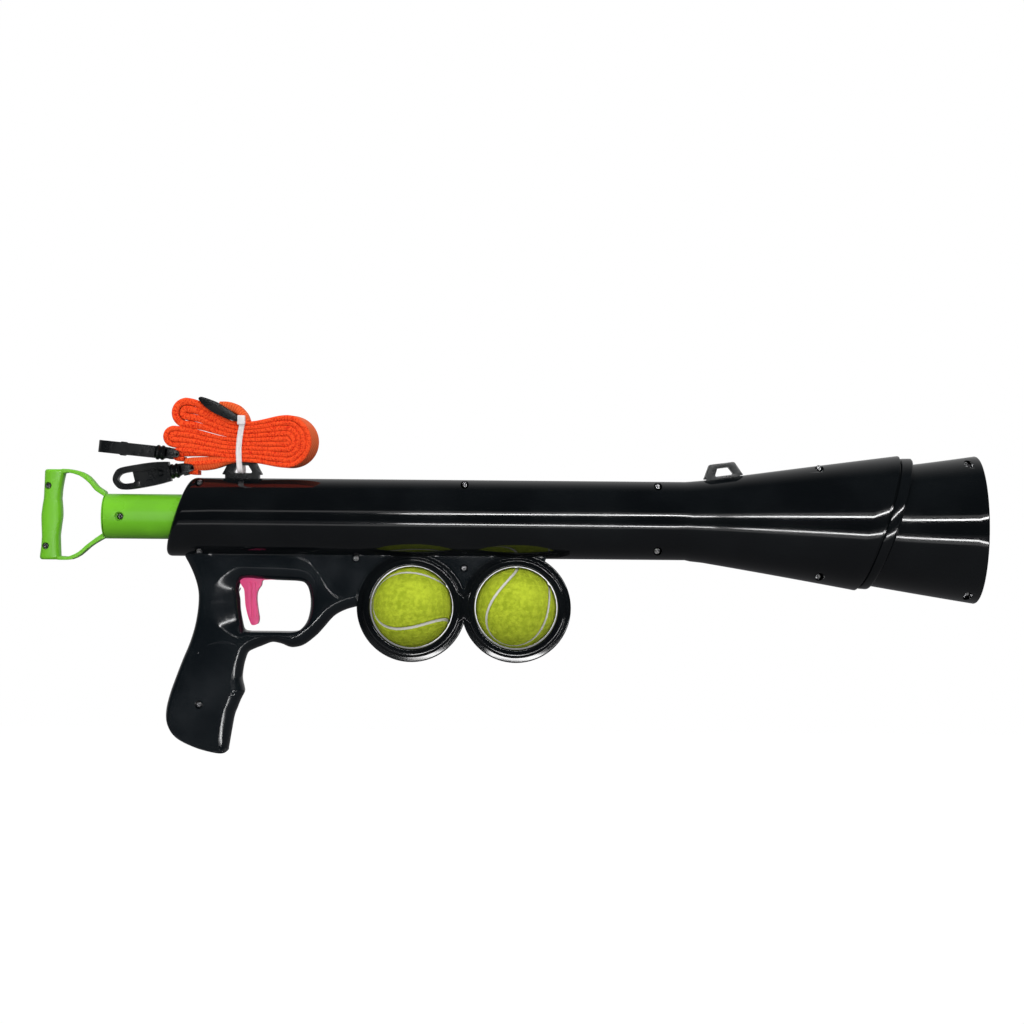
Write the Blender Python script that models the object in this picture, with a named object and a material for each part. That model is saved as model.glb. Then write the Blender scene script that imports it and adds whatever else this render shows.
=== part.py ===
# Spring-driven ball thrower for dogs, held like a long launcher.
# Metres, +Z up, +X toward the muzzle, the middle of the grip at the origin.
# The right half faces -Y and the left half faces +Y.
import math

import bmesh
import bpy
from mathutils import Matrix, Vector

# Clearances
gap = 0.0003
overrun = 0.02

# Barrel and its slanted rear end
axis_height = 0.1315
barrel_radius = 0.0297
barrel_wall = 0.0027
barrel_bore_radius = barrel_radius - barrel_wall
barrel_front_x = 0.365
housing_rear_x = -0.023
housing_rear_wall = 0.029
housing_rear_rounding = 0.005
end_lean_angle = math.radians(17.4)

# Flare in front of the barrel, ending in a leaning edge
flare_rear_step = 0.0006
flare_rear_radius = barrel_radius + flare_rear_step
flare_length = 0.1412
flare_end_radius = 0.0512
flare_wall = 0.0028

# Muzzle piece with its spigot, lip, collar and cone
spigot_length = 0.018
lip_length = 0.004
lip_height = 0.0011
collar_length = 0.0095
muzzle_wall = 0.0024
cone_rear_inset = 0.0051
cone_rear_radius = flare_end_radius - cone_rear_inset
cone_rear_drop = 0.0019
cone_length = 0.0653
muzzle_rim_x = barrel_front_x + flare_length + collar_length + cone_length
muzzle_rim_spread = 0.00465
muzzle_rim_radius = flare_end_radius + muzzle_rim_spread
muzzle_rim_drop = 0.0049
muzzle_band_length = 0.018
muzzle_band_wall = 0.0058

# Web under the barrel with the guard round the trigger
web_half_thickness = 0.011
web_front_reach = 0.0225
web_edge_rounding = 0.0016
guard_rear_x = 0.0244
guard_length = 0.0534
guard_front_x = guard_rear_x + guard_length
guard_top_drop = 0.0479
guard_top_z = axis_height - guard_top_drop
guard_height = 0.0381
guard_bottom_z = guard_top_z - guard_height
guard_corner_radius = 0.009
guard_bar_depth = 0.0153

# Rings that hold the spare balls
ball_radius = 0.0311
ball_clearance = 0.0004
ring_hole_radius = ball_radius + ball_clearance
ring_band_width = 0.0055
ring_band_radius = ring_hole_radius + ring_band_width
ring_step_width = 0.0044
ring_outer_radius = ring_band_radius + ring_step_width
ring_half_thickness = 0.0125
ring_edge_inset = 0.0029
ring_edge_half_thickness = ring_half_thickness - ring_edge_inset
ring_band_rounding = 0.0012
ring_neck = 0.0001
ring_centre_drop = barrel_radius + ring_band_radius + ring_neck
ring_guard_space = 0.0353
ring_rear_x = guard_front_x + ring_guard_space + ring_outer_radius
ring_land = 0.016
ring_spacing = 2 * ring_hole_radius + ring_land
web_front_x = ring_rear_x + ring_spacing + web_front_reach
ring_names = ("rear", "front")

# Grip
grip_half_thickness = 0.0135
grip_edge_rounding = 0.004
grip_depth = 0.05
grip_height = 0.1

# Screws that hold the halves together
screw_head_radius = 0.0023
screw_head_height = 0.002
screw_shank_radius = 0.0013
screw_slot_width = 0.0006
screw_slot_depth = 0.0008
screw_recess_radius = screw_head_radius + gap
screw_boss_wall = 0.0005
screw_boss_radius = screw_recess_radius + screw_boss_wall
screw_seat_y = 0.008
screw_reach_y = 0.008
screw_ring_inset = 0.0037
screw_ring_radius = barrel_radius - screw_ring_inset
flare_screw_wall = 0.0036
muzzle_screw_wall = 0.0050
muzzle_screw_inset = 0.0095
low_screw_inset = 0.0068
front_screw_inset = 0.0254
flare_screw_share = 0.68
guard_screw_reach = 0.0345
guard_screw_drop = 0.0005
neck_screw_drop = 0.0073
rear_screw_inset = 0.017

# Plunger tube, drawn back by its handle
tube_radius = 0.017
tube_wall = 0.003
tube_bare_length = 0.055
tube_rear_x = housing_rear_x - tube_bare_length
tube_front_inset = 0.013
tube_front_x = barrel_front_x - tube_front_inset
tube_clearance = 0.0003
draw_length = 0.11
catch_slot_length = 0.011
catch_slot_half_width = 0.006
tube_hole_radius = 0.0035
tube_hole_inset = 0.0126

# Pusher cup that meets the ball, and the guide bush that the spring pushes on
cup_lip = 0.002
cup_radius = tube_radius + cup_lip
cup_length = 0.013
cup_rim = 0.0035
cup_dish_radius = cup_radius - cup_rim
cup_dish_depth = 0.005
cup_plug_length = 0.016
bush_rear_x = 0.082
bush_length = 0.012
bush_flange_length = 0.004

# Launch spring
spring_wire_radius = 0.0008
spring_turns = 14
spring_turn_points = 12
spring_sides = 3

# Pull handle
handle_length = 0.05
handle_half_height = 0.0345
handle_half_thickness = 0.0082
handle_edge_rounding = 0.003
handle_cap_length = 0.0055
handle_plug_length = 0.03
handle_bar_inset = 0.0072
handle_screw_height = 0.0228
handle_seat_y = 0.0042
handle_reach_y = 0.0062

# Trigger and sear
trigger_half_thickness = 0.004
trigger_inset = 0.0156
trigger_pivot_x = guard_rear_x + trigger_inset
trigger_length = 0.045
trigger_arm_share = 0.242
trigger_depth = 0.017
trigger_edge_rounding = 0.0012
trigger_turn_angle = math.radians(9.0)
slot_half_width = 0.0046
pin_radius = 0.002
pin_half_length = 0.0095
sear_shift = 0.002
sear_pivot_x = trigger_pivot_x + sear_shift
sear_nose_height = 0.0038
sear_thickness = 0.0045
sear_tail_length = 0.018
sear_nose_length = 0.014
sear_front_length = 0.022
sear_nose_width = 0.006
sear_pin_half_length = 0.0135
sear_pin_radius = 0.0014
small_spring_radius = 0.0026
small_spring_wire = 0.0005
small_spring_turns = 5
small_spring_points = 8
sear_spring_length = 0.0075
sear_low_z = axis_height - tube_radius - sear_nose_height - sear_thickness
trigger_pivot_z = sear_low_z - gap - trigger_length * trigger_arm_share
trigger_spring_drop = 0.017

# Loops that the strap clips to
loop_half_thickness = 0.005
loop_height = 0.0108
loop_foot_depth = 0.0036
rear_loop_inset = 0.0482
rear_loop_x = housing_rear_x + rear_loop_inset
rear_loop_length = 0.0305
front_loop_inset = 0.0248
front_loop_x = barrel_front_x + front_loop_inset
front_loop_length = 0.0302
flare_top_length = flare_length + math.tan(end_lean_angle) * flare_end_radius
front_loop_slope_share = (flare_end_radius - flare_rear_radius) / flare_top_length
front_loop_tilt_angle = math.atan(front_loop_slope_share)
front_loop_sink = 0.0005
front_loop_rise = flare_rear_step + front_loop_slope_share * front_loop_inset - front_loop_sink

# Strap, folded into a hank and stowed on the rear loop
strap_half_width = 0.01
strap_thickness = 0.0024
strap_runs = 10
waist_shift = 0.0005
waist_x = rear_loop_x - waist_shift
waist_space = 0.00067
waist_pitch = strap_thickness + waist_space
waist_half_length = 0.0032
waist_rest_gap = 0.0012
curl_tail_length = 0.002
right_lobe_reach = 0.0378
right_lobe_x = waist_x + right_lobe_reach
right_lobe_rise = 0.0006
right_lobe_space = 0.0016
right_lobe_pitch = strap_thickness + right_lobe_space
upper_lobe_reach = 0.0412
upper_lobe_x = waist_x - upper_lobe_reach
upper_lobe_rise = 0.0216
upper_lobe_space = 0.0034
upper_lobe_pitch = strap_thickness + upper_lobe_space
lower_lobe_reach = 0.0507
lower_lobe_x = waist_x - lower_lobe_reach
lower_lobe_rise = 0.0036
lower_lobe_space = 0.0017
lower_lobe_pitch = strap_thickness + lower_lobe_space
lobe_arc_points = 8
run_points = 5
curl_space = 0.0009

# Tie round the strap's waist, and the slider on the strap
tie_thickness = 0.0012
tie_width = 0.0048
tie_corner_radius = 0.0008
tie_drop_share = 2 / 3
tie_side_gap = 0.0006
tie_head_length = 0.0065
tie_head_width = 0.006
tie_head_height = 0.005
slider_length = 0.034
slider_thickness = 0.0032
slider_bar = 0.0032
slider_half_width = strap_half_width + gap + slider_bar
slider_reach = 0.0327
slider_touch_x = waist_x - slider_reach
slider_overhang = 0.0025

# Swivel hooks at the strap's ends
hook_total_length = 0.062
hook_height = 0.0154
hook_half_thickness = 0.0046
hook_arm = 0.0034
hook_base_length = 0.006
hook_mouth_width = 0.0012
swivel_radius = 0.0056
swivel_length = 0.01
swivel_stem_radius = 0.0022
swivel_head_radius = 0.0029
swivel_head_length = 0.0022
eye_bar_radius = 0.0013
eye_length = 0.008
eye_wall = 0.0024
eye_side_space = 0.0014
eye_half_width = strap_half_width + eye_wall + eye_side_space
curl_radius = eye_bar_radius + strap_thickness / 2 + curl_space
upper_hook_reach = 0.0472
upper_hook_drop = 0.0098
upper_hook_angle = math.radians(-5.6)
lower_hook_reach = 0.0362
lower_hook_drop = 0.02
lower_hook_angle = math.radians(9.0)

# Counts of facets
barrel_facets = 36
ring_facets = 36
tube_facets = 28
screw_facets = 10
pin_facets = 10
ball_facets = 20
ball_bands = 10

# Outline shares: X in grip depths and Z in grip heights from the hold point
grip_shares = [
    (-0.20, 1.16), (-0.35, 1.02), (-0.20, 0.87), (-0.13, 0.72), (-0.15, 0.58), (-0.27, 0.36),
    (-0.46, 0.11), (-0.60, -0.12), (-0.61, -0.20), (-0.57, -0.27), (-0.49, -0.33), (-0.37, -0.378),
    (-0.10, -0.44), (0.12, -0.463), (0.27, -0.466), (0.325, -0.44), (0.37, -0.31), (0.42, -0.185),
    (0.50, -0.07), (0.57, 0.0), (0.54, 0.055), (0.53, 0.12), (0.57, 0.24), (0.62, 0.31),
    (0.80, 0.42), (0.80, 0.90), (0.72, 1.16),
]

# Underside of the guard: X from the guard's rear to the rear ring, Z from its bar to the ring's centre
guard_shares = [
    (0.00, 0.00), (0.10, 0.04), (0.20, 0.12), (0.29, 0.19), (0.40, 0.15), (0.55, 0.14),
    (0.68, 0.34), (0.80, 0.70), (0.90, 0.88), (1.00, 0.96),
]

# Handle outline: X in handle lengths behind the tube, Z in half heights from the axis
handle_outer_shares = [
    (-0.02, 0.46), (0.05, 0.56), (0.14, 0.65), (0.23, 0.80), (0.33, 0.93), (0.48, 1.015),
    (0.66, 1.035), (0.86, 1.04), (0.935, 1.0), (0.945, 0.89), (0.94, 0.50), (0.965, 0.02),
    (0.97, -0.55), (1.0, -0.89), (0.985, -0.95), (0.70, -0.955), (0.48, -0.93), (0.34, -0.82),
    (0.22, -0.65), (0.10, -0.49), (-0.02, -0.40),
]
handle_inner_shares = [
    (0.11, 0.40), (0.20, 0.56), (0.28, 0.70), (0.37, 0.83), (0.49, 0.91), (0.60, 0.92),
    (0.655, 0.86), (0.675, 0.55), (0.67, 0.02), (0.70, -0.52), (0.69, -0.78), (0.63, -0.84),
    (0.50, -0.83), (0.39, -0.74), (0.28, -0.58), (0.16, -0.42), (0.11, -0.34),
]

# Trigger outline: X in trigger depths and Z in trigger lengths from its pivot
trigger_shares = [
    (-0.88, trigger_arm_share), (-0.50, trigger_arm_share), (-0.42, 0.13), (0.05, 0.10), (0.55, 0.04),
    (0.78, -0.06),
    (0.78, -0.235), (0.05, -0.24), (0.02, -0.33), (-0.15, -0.41), (-0.19, -0.53), (-0.16, -0.66),
    (-0.07, -0.87), (-0.17, -0.995), (-0.37, -1.0), (-0.58, -0.84), (-0.68, -0.67), (-0.71, -0.50),
    (-0.74, -0.38), (-0.90, -0.30), (-0.88, -0.10),
]

# Loop outline: X in half lengths and Z in loop heights over the barrel's top
loop_outer_shares = [(-1.0, 0.0), (-0.62, 1.0), (0.62, 1.0), (1.0, 0.0)]
loop_inner_shares = [(-0.40, 0.12), (-0.25, 0.62), (0.30, 0.62), (0.50, 0.12)]

colours = {
    "black_abs": ((0.012, 0.014, 0.017, 1.0), 0.18, 0.0),
    "green_abs": ((0.19, 0.53, 0.06, 1.0), 0.3, 0.0),
    "pink_abs": ((0.66, 0.05, 0.19, 1.0), 0.35, 0.0),
    "black_nylon": ((0.016, 0.018, 0.02, 1.0), 0.5, 0.0),
    "orange_webbing": ((0.80, 0.09, 0.02, 1.0), 0.85, 0.0),
    "clear_nylon": ((0.72, 0.7, 0.7, 1.0), 0.35, 0.0),
    "ball_felt": ((0.55, 0.62, 0.04, 1.0), 0.95, 0.0),
    "steel": ((0.6, 0.6, 0.62, 1.0), 0.3, 1.0),
    "white_acetal": ((0.75, 0.75, 0.73, 1.0), 0.4, 0.0),
}


# Shared builders

def clear_scene():
    for thing in list(bpy.data.objects):
        bpy.data.objects.remove(thing, do_unlink=True)


def material(name):
    colour, roughness, metallic = colours[name]
    made = bpy.data.materials.get(name)
    if made is None:
        made = bpy.data.materials.new(name)
        made.use_nodes = True
        shader = made.node_tree.nodes["Principled BSDF"]
        shader.inputs["Base Color"].default_value = colour
        shader.inputs["Roughness"].default_value = roughness
        shader.inputs["Metallic"].default_value = metallic
    return made


def finish_mesh(name, mesh, finish):
    bmesh.ops.recalc_face_normals(mesh, faces=mesh.faces)
    data = bpy.data.meshes.new(name)
    mesh.to_mesh(data)
    mesh.free()
    data.shade_smooth()
    data.set_sharp_from_angle(angle=math.radians(35.0))
    made = bpy.data.objects.new(name, data)
    bpy.context.collection.objects.link(made)
    if finish:
        made.data.materials.append(material(finish))
    else:
        made.hide_render = True
        made.display_type = "WIRE"
    return made


def hide(made):
    made.hide_render = True
    made.display_type = "WIRE"
    return made


def combine(target, other, operation):
    hide(other)
    other.parent = target
    change = target.modifiers.new(other.name, "BOOLEAN")
    change.operation = operation
    change.object = other
    return target


def join(target, other):
    return combine(target, other, "UNION")


def cut(target, other):
    return combine(target, other, "DIFFERENCE")


def set_origin(made, point):
    place = Vector(point)
    made.data.transform(Matrix.Translation(-place))
    made.location = made.location + place
    for child in bpy.data.objects:
        if child.parent == made:
            child.location = child.location - place
    return made


def bridge_rings(mesh, rings, closed_length, capped):
    pairs = list(zip(rings, rings[1:]))
    if closed_length:
        pairs.append((rings[-1], rings[0]))
    for low, high in pairs:
        count = max(len(low), len(high))
        for index in range(count):
            after = (index + 1) % count
            if len(low) == 1:
                mesh.faces.new((low[0], high[index], high[after]))
            elif len(high) == 1:
                mesh.faces.new((low[index], low[after], high[0]))
            else:
                mesh.faces.new((low[index], low[after], high[after], high[index]))
    if capped:
        for ring in (rings[0], rings[-1]):
            if len(ring) > 2:
                mesh.faces.new(ring)


def revolve(name, profile, axis, centre, facets, finish, closed=False):
    # profile holds (radius, distance along the axis)
    mesh = bmesh.new()
    rings = []
    for radius, along in profile:
        count = facets if radius > 0 else 1
        ring = []
        for index in range(count):
            turn = 2 * math.pi * index / facets
            first = radius * math.cos(turn)
            second = radius * math.sin(turn)
            point = (along, first, second) if axis == "X" else (first, along, second)
            ring.append(mesh.verts.new(Vector(point) + Vector(centre)))
        rings.append(ring)
    bridge_rings(mesh, rings, closed, not closed)
    return finish_mesh(name, mesh, finish)


def loft_rings(name, stations, facets, finish):
    # a station holds centre X, drop under the barrel's axis, radius and lean
    mesh = bmesh.new()
    rings = []
    for centre_x, drop, radius, lean in stations:
        ring = []
        for index in range(facets):
            turn = 2 * math.pi * index / facets
            side = radius * math.cos(turn)
            rise = radius * math.sin(turn)
            point = (centre_x + lean * rise, side, axis_height - drop + rise)
            ring.append(mesh.verts.new(point))
        rings.append(ring)
    bridge_rings(mesh, rings, False, True)
    return finish_mesh(name, mesh, finish)


def plate(name, outline, rear_y, front_y, rounding, finish, segments=2):
    mesh = bmesh.new()
    near = [mesh.verts.new((x, rear_y, z)) for x, z in outline]
    far = [mesh.verts.new((x, front_y, z)) for x, z in outline]
    bridge_rings(mesh, [near, far], False, True)
    made = finish_mesh(name, mesh, finish)
    if rounding:
        edge = made.modifiers.new("rounding", "BEVEL")
        edge.width = rounding
        edge.segments = segments
        edge.limit_method = "ANGLE"
        edge.angle_limit = math.radians(50.0)
    return made


def box(name, low, high, finish=None):
    outline = [(low[0], low[2]), (high[0], low[2]), (high[0], high[2]), (low[0], high[2])]
    return plate(name, outline, low[1], high[1], 0, finish)


def scaled(shares, origin, size):
    return [(origin[0] + u * size[0], origin[1] + v * size[1]) for u, v in shares]


def smooth_outline(points, steps):
    count = len(points)
    result = []
    for index in range(count):
        before, start, end, after = [
            Vector(points[(index + shift) % count]) for shift in (-1, 0, 1, 2)
        ]
        for step in range(steps):
            t = step / steps
            blend = (
                start * 2 + (end - before) * t
                + (before * 2 - start * 5 + end * 4 - after) * t * t
                + (start * 3 - before - end * 3 + after) * t ** 3
            ) / 2
            result.append((blend.x, blend.y))
    return result


def arc_points(centre, radius, start_angle, end_angle, count):
    points = []
    for index in range(count + 1):
        turn = start_angle + (end_angle - start_angle) * index / count
        points.append((centre[0] + radius * math.cos(turn), centre[1] + radius * math.sin(turn)))
    return points


def rounded_rectangle(low, high, radius, count):
    quarter = math.pi / 2
    corners = [
        ((high[0] - radius, high[1] - radius), 0),
        ((low[0] + radius, high[1] - radius), 1),
        ((low[0] + radius, low[1] + radius), 2),
        ((high[0] - radius, low[1] + radius), 3),
    ]
    points = []
    for centre, turns in corners:
        points += arc_points(centre, radius, turns * quarter, (turns + 1) * quarter, count)
    return points


def helix(name, start_x, length, radius, wire, turns, turn_points, sides, finish):
    # a wire wound along +X from the start, with its two ends capped
    mesh = bmesh.new()
    rings = []
    total = turns * turn_points
    for index in range(total + 1):
        turn = 2 * math.pi * index / turn_points
        along = start_x + wire + (length - 2 * wire) * index / total
        outward = Vector((0, math.cos(turn), math.sin(turn)))
        ring = []
        for side in range(sides):
            around = 2 * math.pi * side / sides
            offset = outward * (radius + wire * math.cos(around))
            ring.append(mesh.verts.new(offset + Vector((along + wire * math.sin(around), 0, 0))))
        rings.append(ring)
    bridge_rings(mesh, rings, False, True)
    return finish_mesh(name, mesh, finish)


def ribbon(name, path, half_width, thickness, finish):
    # a flat band that follows (x, z) points, with its width along Y
    mesh = bmesh.new()
    rings = []
    for index, point in enumerate(path):
        before = Vector(path[max(index - 1, 0)])
        after = Vector(path[min(index + 1, len(path) - 1)])
        heading = (after - before).normalized()
        normal = Vector((-heading.y, heading.x)) * (thickness / 2)
        corners = [
            (normal, -half_width), (normal, half_width), (-normal, half_width), (-normal, -half_width),
        ]
        ring = [mesh.verts.new((point[0] + n.x, y, point[1] + n.y)) for n, y in corners]
        rings.append(ring)
    bridge_rings(mesh, rings, False, True)
    return finish_mesh(name, mesh, finish)


# Places that several pieces share

def flare_ring(share, inset):
    # the flare's ring at a share of its length, set in from its skin
    lean = math.tan(end_lean_angle) * share
    radius = flare_rear_radius + (flare_end_radius - flare_rear_radius) * share - inset
    return (barrel_front_x + flare_length * share, gap, radius, lean)


def flare_share(distance_from_end):
    return 1 + distance_from_end / flare_length


def bore_flare_ring(share):
    # the bore widens from the barrel's bore to the flare's thin wall at its end
    rear_inset = flare_rear_radius - barrel_bore_radius
    return flare_ring(share, rear_inset + (flare_wall - rear_inset) * share)


def ring_places():
    height = axis_height - ring_centre_drop
    return [(ring_rear_x, height), (ring_rear_x + ring_spacing, height)]


def muzzle_radius_at(x):
    rear = barrel_front_x + flare_length + collar_length
    share = (x - rear) / (muzzle_rim_x - rear)
    return cone_rear_radius + (muzzle_rim_radius - cone_rear_radius) * share


def body_screw_places():
    # name: X, Z of each screw that joins the shell halves
    top = axis_height + screw_ring_radius
    low = axis_height - screw_ring_radius
    neck_x = ring_rear_x + ring_spacing / 2
    flare_x = barrel_front_x + flare_length * flare_screw_share
    flare_rise = flare_ring(flare_screw_share, flare_screw_wall)[2]
    front_x = barrel_front_x - front_screw_inset
    under = axis_height - barrel_radius
    return {
        "rear_top": (housing_rear_x + rear_screw_inset, top),
        "rear_low": (housing_rear_x + rear_screw_inset, low),
        "barrel_middle": (neck_x, top),
        "barrel_front": (front_x, top),
        "barrel_front_low": (front_x, under + low_screw_inset),
        "flare_top": (flare_x, axis_height + flare_rise),
        "flare_low": (flare_x, axis_height - flare_rise),
        "guard": (guard_front_x + guard_screw_reach, under - guard_screw_drop),
        "neck": (neck_x, under - neck_screw_drop),
        "grip": (-grip_depth * 0.1, -grip_height * 0.1),
    }


def muzzle_screw_places():
    x = muzzle_rim_x - muzzle_screw_inset
    rise = muzzle_radius_at(x) - muzzle_screw_wall
    centre = axis_height - muzzle_rim_drop
    return {"top": (x, centre + rise), "low": (x, centre - rise)}


def cut_screw_holes(target, places, seat_y, reach_y):
    # a recess, a seat and a shank hole along Y for each screw
    shank = screw_shank_radius + gap
    mouth_y = -2 * overrun
    tip_y = reach_y + gap
    profile = [
        (0, mouth_y), (screw_recess_radius, mouth_y), (screw_recess_radius, -seat_y),
        (shank, -seat_y), (shank, tip_y), (0, tip_y),
    ]
    for name, (x, z) in places.items():
        cut(target, revolve("hole_" + name, profile, "Y", (x, 0, z), screw_facets, None))


def make_screw(name, x, z, seat_y, reach_y, finish="steel"):
    head_y = -seat_y - gap
    top_y = head_y - screw_head_height
    profile = [
        (0, top_y), (screw_head_radius * 0.8, top_y), (screw_head_radius, top_y + screw_head_height / 3),
        (screw_head_radius, head_y), (screw_shank_radius, head_y), (screw_shank_radius, reach_y), (0, reach_y),
    ]
    screw = revolve(name, profile, "Y", (x, 0, z), screw_facets, finish)
    for turned in (False, True):
        wide = screw_slot_width / 2
        long = screw_head_radius * 0.62
        half_x = wide if turned else long
        half_z = long if turned else wide
        low = (x - half_x, top_y - overrun, z - half_z)
        high = (x + half_x, top_y + screw_slot_depth, z + half_z)
        cut(screw, box(name + "_slot_" + str(turned), low, high))
    return set_origin(screw, (x, 0, z))


def keep_half(target, side):
    # removes all that lies past the parting gap on the other side
    reach = 2 * muzzle_rim_x
    edge = side * gap / 2
    low_y = -reach if side > 0 else edge
    high_y = edge if side > 0 else reach
    return cut(target, box(target.name + "_half", (-reach, low_y, -reach), (reach, high_y, reach)))


# Shell halves

def housing_solid(name, finish):
    lean = math.tan(end_lean_angle)
    inset = housing_rear_rounding
    stations = [
        (housing_rear_x, 0, barrel_radius - inset, lean),
        (housing_rear_x + inset * 0.3, 0, barrel_radius - inset * 0.3, lean),
        (housing_rear_x + inset, 0, barrel_radius, lean),
        (0, 0, barrel_radius, 0),
        (barrel_front_x - flare_length / 10, 0, barrel_radius, 0),
        flare_ring(0, 0),
        flare_ring(0.5, 0),
        flare_ring(1, 0),
    ]
    return loft_rings(name, stations, barrel_facets, finish)


def bore_cutter(name):
    rear_x = housing_rear_x + housing_rear_wall
    through = tube_radius + tube_clearance
    groove_share = flare_share(-spigot_length)
    groove_end = flare_share(lip_length + gap - spigot_length)
    groove = [bore_flare_ring(groove_share), bore_flare_ring(groove_end)]
    deep = [(x, drop, radius + lip_height, lean) for x, drop, radius, lean in groove]
    past_end = flare_share(overrun)
    stations = [
        (housing_rear_x - overrun, 0, through, 0),
        (rear_x, 0, through, 0),
        (rear_x, 0, barrel_bore_radius, 0),
        (barrel_front_x, 0, barrel_bore_radius, 0),
        groove[0], deep[0], deep[1], groove[1],
        bore_flare_ring(past_end),
    ]
    cutter = loft_rings(name, stations, barrel_facets, None)
    for place, (x, z) in body_screw_places().items():
        if place in ("barrel_middle", "barrel_front", "barrel_front_low", "flare_top", "flare_low"):
            half = screw_ring_radius
            profile = [(0, -half), (screw_boss_radius, -half), (screw_boss_radius, half), (0, half)]
            boss = revolve(name + "_boss_" + place, profile, "Y", (x, 0, z), screw_facets, None)
            cut(cutter, boss)
    return cutter


def web_outline():
    rings = ring_places()
    top = axis_height - barrel_radius / 2
    under = axis_height - barrel_radius
    rear_ring, front_ring = rings
    neck_x = (rear_ring[0] + front_ring[0]) / 2
    notch = rear_ring[1] + ring_outer_radius * 0.3
    guard_rear = grip_depth * 0.62
    bar_z = guard_bottom_z - guard_bar_depth
    guard_end = rear_ring[0] - ring_outer_radius
    underside = scaled(guard_shares, (guard_rear, bar_z), (guard_end - guard_rear, rear_ring[1] - bar_z))
    outline = [
        (0, top), (0, grip_height * 0.8), (grip_depth * 0.2, grip_height * 0.31),
    ]
    outline += underside
    outline += [
        (rear_ring[0] - ring_outer_radius * 0.8, rear_ring[1]),
        (neck_x, notch),
        (front_ring[0] + ring_outer_radius * 0.3, front_ring[1] + ring_outer_radius * 0.8),
        (web_front_x, under + web_edge_rounding),
        (web_front_x, top),
    ]
    return outline


def ring_solid(name, x, z):
    band = ring_half_thickness
    rounding = ring_band_rounding
    edge = ring_edge_half_thickness
    inner = ring_hole_radius
    half = [
        (inner, band - rounding), (inner + rounding, band), (ring_band_radius - rounding, band),
        (ring_band_radius, band - rounding), (ring_band_radius, edge),
        (ring_outer_radius - rounding, edge), (ring_outer_radius, edge - rounding),
    ]
    profile = half + [(radius, -along) for radius, along in reversed(half)]
    return revolve(name, profile, "Y", (x, 0, z), ring_facets, None, closed=True)


def pocket_cutters(name):
    # room for the trigger, the sear, their pins and their springs
    half = slot_half_width
    bore_low = axis_height - barrel_bore_radius
    back = trigger_pivot_x - trigger_depth * 1.72
    trigger_front = trigger_pivot_x + trigger_depth * 0.86
    slot_low = trigger_pivot_z - trigger_length * 1.03
    sear_front = sear_pivot_x + sear_front_length + gap * 2
    floor = bore_low - sear_spring_length
    tail_x = sear_pivot_x - sear_tail_length - gap * 2
    lever = box(name + "_lever", (tail_x, -half, floor), (sear_front, half, axis_height - tube_radius))
    body_low = (trigger_pivot_x - trigger_depth * 0.95, -half, guard_top_z - overrun / 10)
    body = box(name + "_body", body_low, (trigger_front, half, floor + gap))
    slot_high = trigger_pivot_z - trigger_length * 0.1
    slot = box(name + "_slot", (back, -half, slot_low), (trigger_pivot_x, half, slot_high))
    cutters = [lever, body, slot]
    for pin, x, z, reach, radius in pin_places():
        profile = pin_profile(radius + gap, reach + gap)
        cutters.append(revolve(name + "_" + pin, profile, "Y", (x, 0, z), pin_facets, None))
    return cutters


def pin_profile(radius, reach):
    return [(0, -reach), (radius, -reach), (radius, reach), (0, reach)]


def pin_places():
    return [
        ("trigger_pin", trigger_pivot_x, trigger_pivot_z, pin_half_length, pin_radius),
        ("sear_pin", sear_pivot_x, sear_height(), sear_pin_half_length, sear_pin_radius),
    ]


def sear_height():
    return sear_low_z + sear_thickness / 2


def loop_places():
    # name: X of the middle, Z of the skin under it, length and tilt
    skin = axis_height + barrel_radius
    return {
        "rear": (rear_loop_x, skin, rear_loop_length, 0),
        "front": (front_loop_x, skin + front_loop_rise, front_loop_length, front_loop_tilt_angle),
    }


def tilted(points, centre, angle):
    result = []
    for x, z in points:
        turned_x = x * math.cos(angle) - z * math.sin(angle)
        turned_z = x * math.sin(angle) + z * math.cos(angle)
        result.append((centre[0] + turned_x, centre[1] + turned_z))
    return result


def loop_foot(length, spread, depth):
    half = length * 0.42 + spread
    return [(-half, -depth), (half, -depth), (half, 0), (-half, 0)]


def make_shell(name, side):
    shell = housing_solid(name, "black_abs")
    web_y = web_half_thickness
    web = plate(name + "_web", web_outline(), -web_y, web_y, web_edge_rounding, None, 1)
    reach = 2 * overrun
    hole = pin_profile((ring_hole_radius + ring_band_radius) / 2, reach)
    for ring_name, (x, z) in zip(ring_names, ring_places()):
        cut(web, revolve(name + "_hole_" + ring_name, hole, "Y", (x, 0, z), ring_facets, None))
    join(shell, web)
    for ring_name, (x, z) in zip(ring_names, ring_places()):
        join(shell, ring_solid(name + "_ring_" + ring_name, x, z))
    outline = smooth_outline(scaled(grip_shares, (0, 0), (grip_depth, grip_height)), 2)
    grip_y = grip_half_thickness
    join(shell, plate(name + "_grip", outline, -grip_y, grip_y, grip_edge_rounding, None))
    cut(shell, bore_cutter(name + "_bore"))
    low = (guard_rear_x, guard_bottom_z)
    high = (guard_front_x, guard_top_z)
    guard = rounded_rectangle(low, high, guard_corner_radius, 4)
    cut(shell, plate(name + "_guard", guard, -reach, reach, 0, None))
    for cutter in pocket_cutters(name + "_pocket"):
        cut(shell, cutter)
    for loop_name, (x, z, length, angle) in loop_places().items():
        foot = tilted(loop_foot(length, gap, loop_foot_depth + gap), (x, z), angle)
        foot = foot[:2] + tilted([(length / 2, overrun), (-length / 2, overrun)], (x, z), angle)
        y = loop_half_thickness + gap
        cut(shell, plate(name + "_foot_" + loop_name, foot, -y, y, 0, None))
    cut_screw_holes(shell, body_screw_places(), screw_seat_y, screw_reach_y)
    return keep_half(shell, side)


# Muzzle halves

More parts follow.
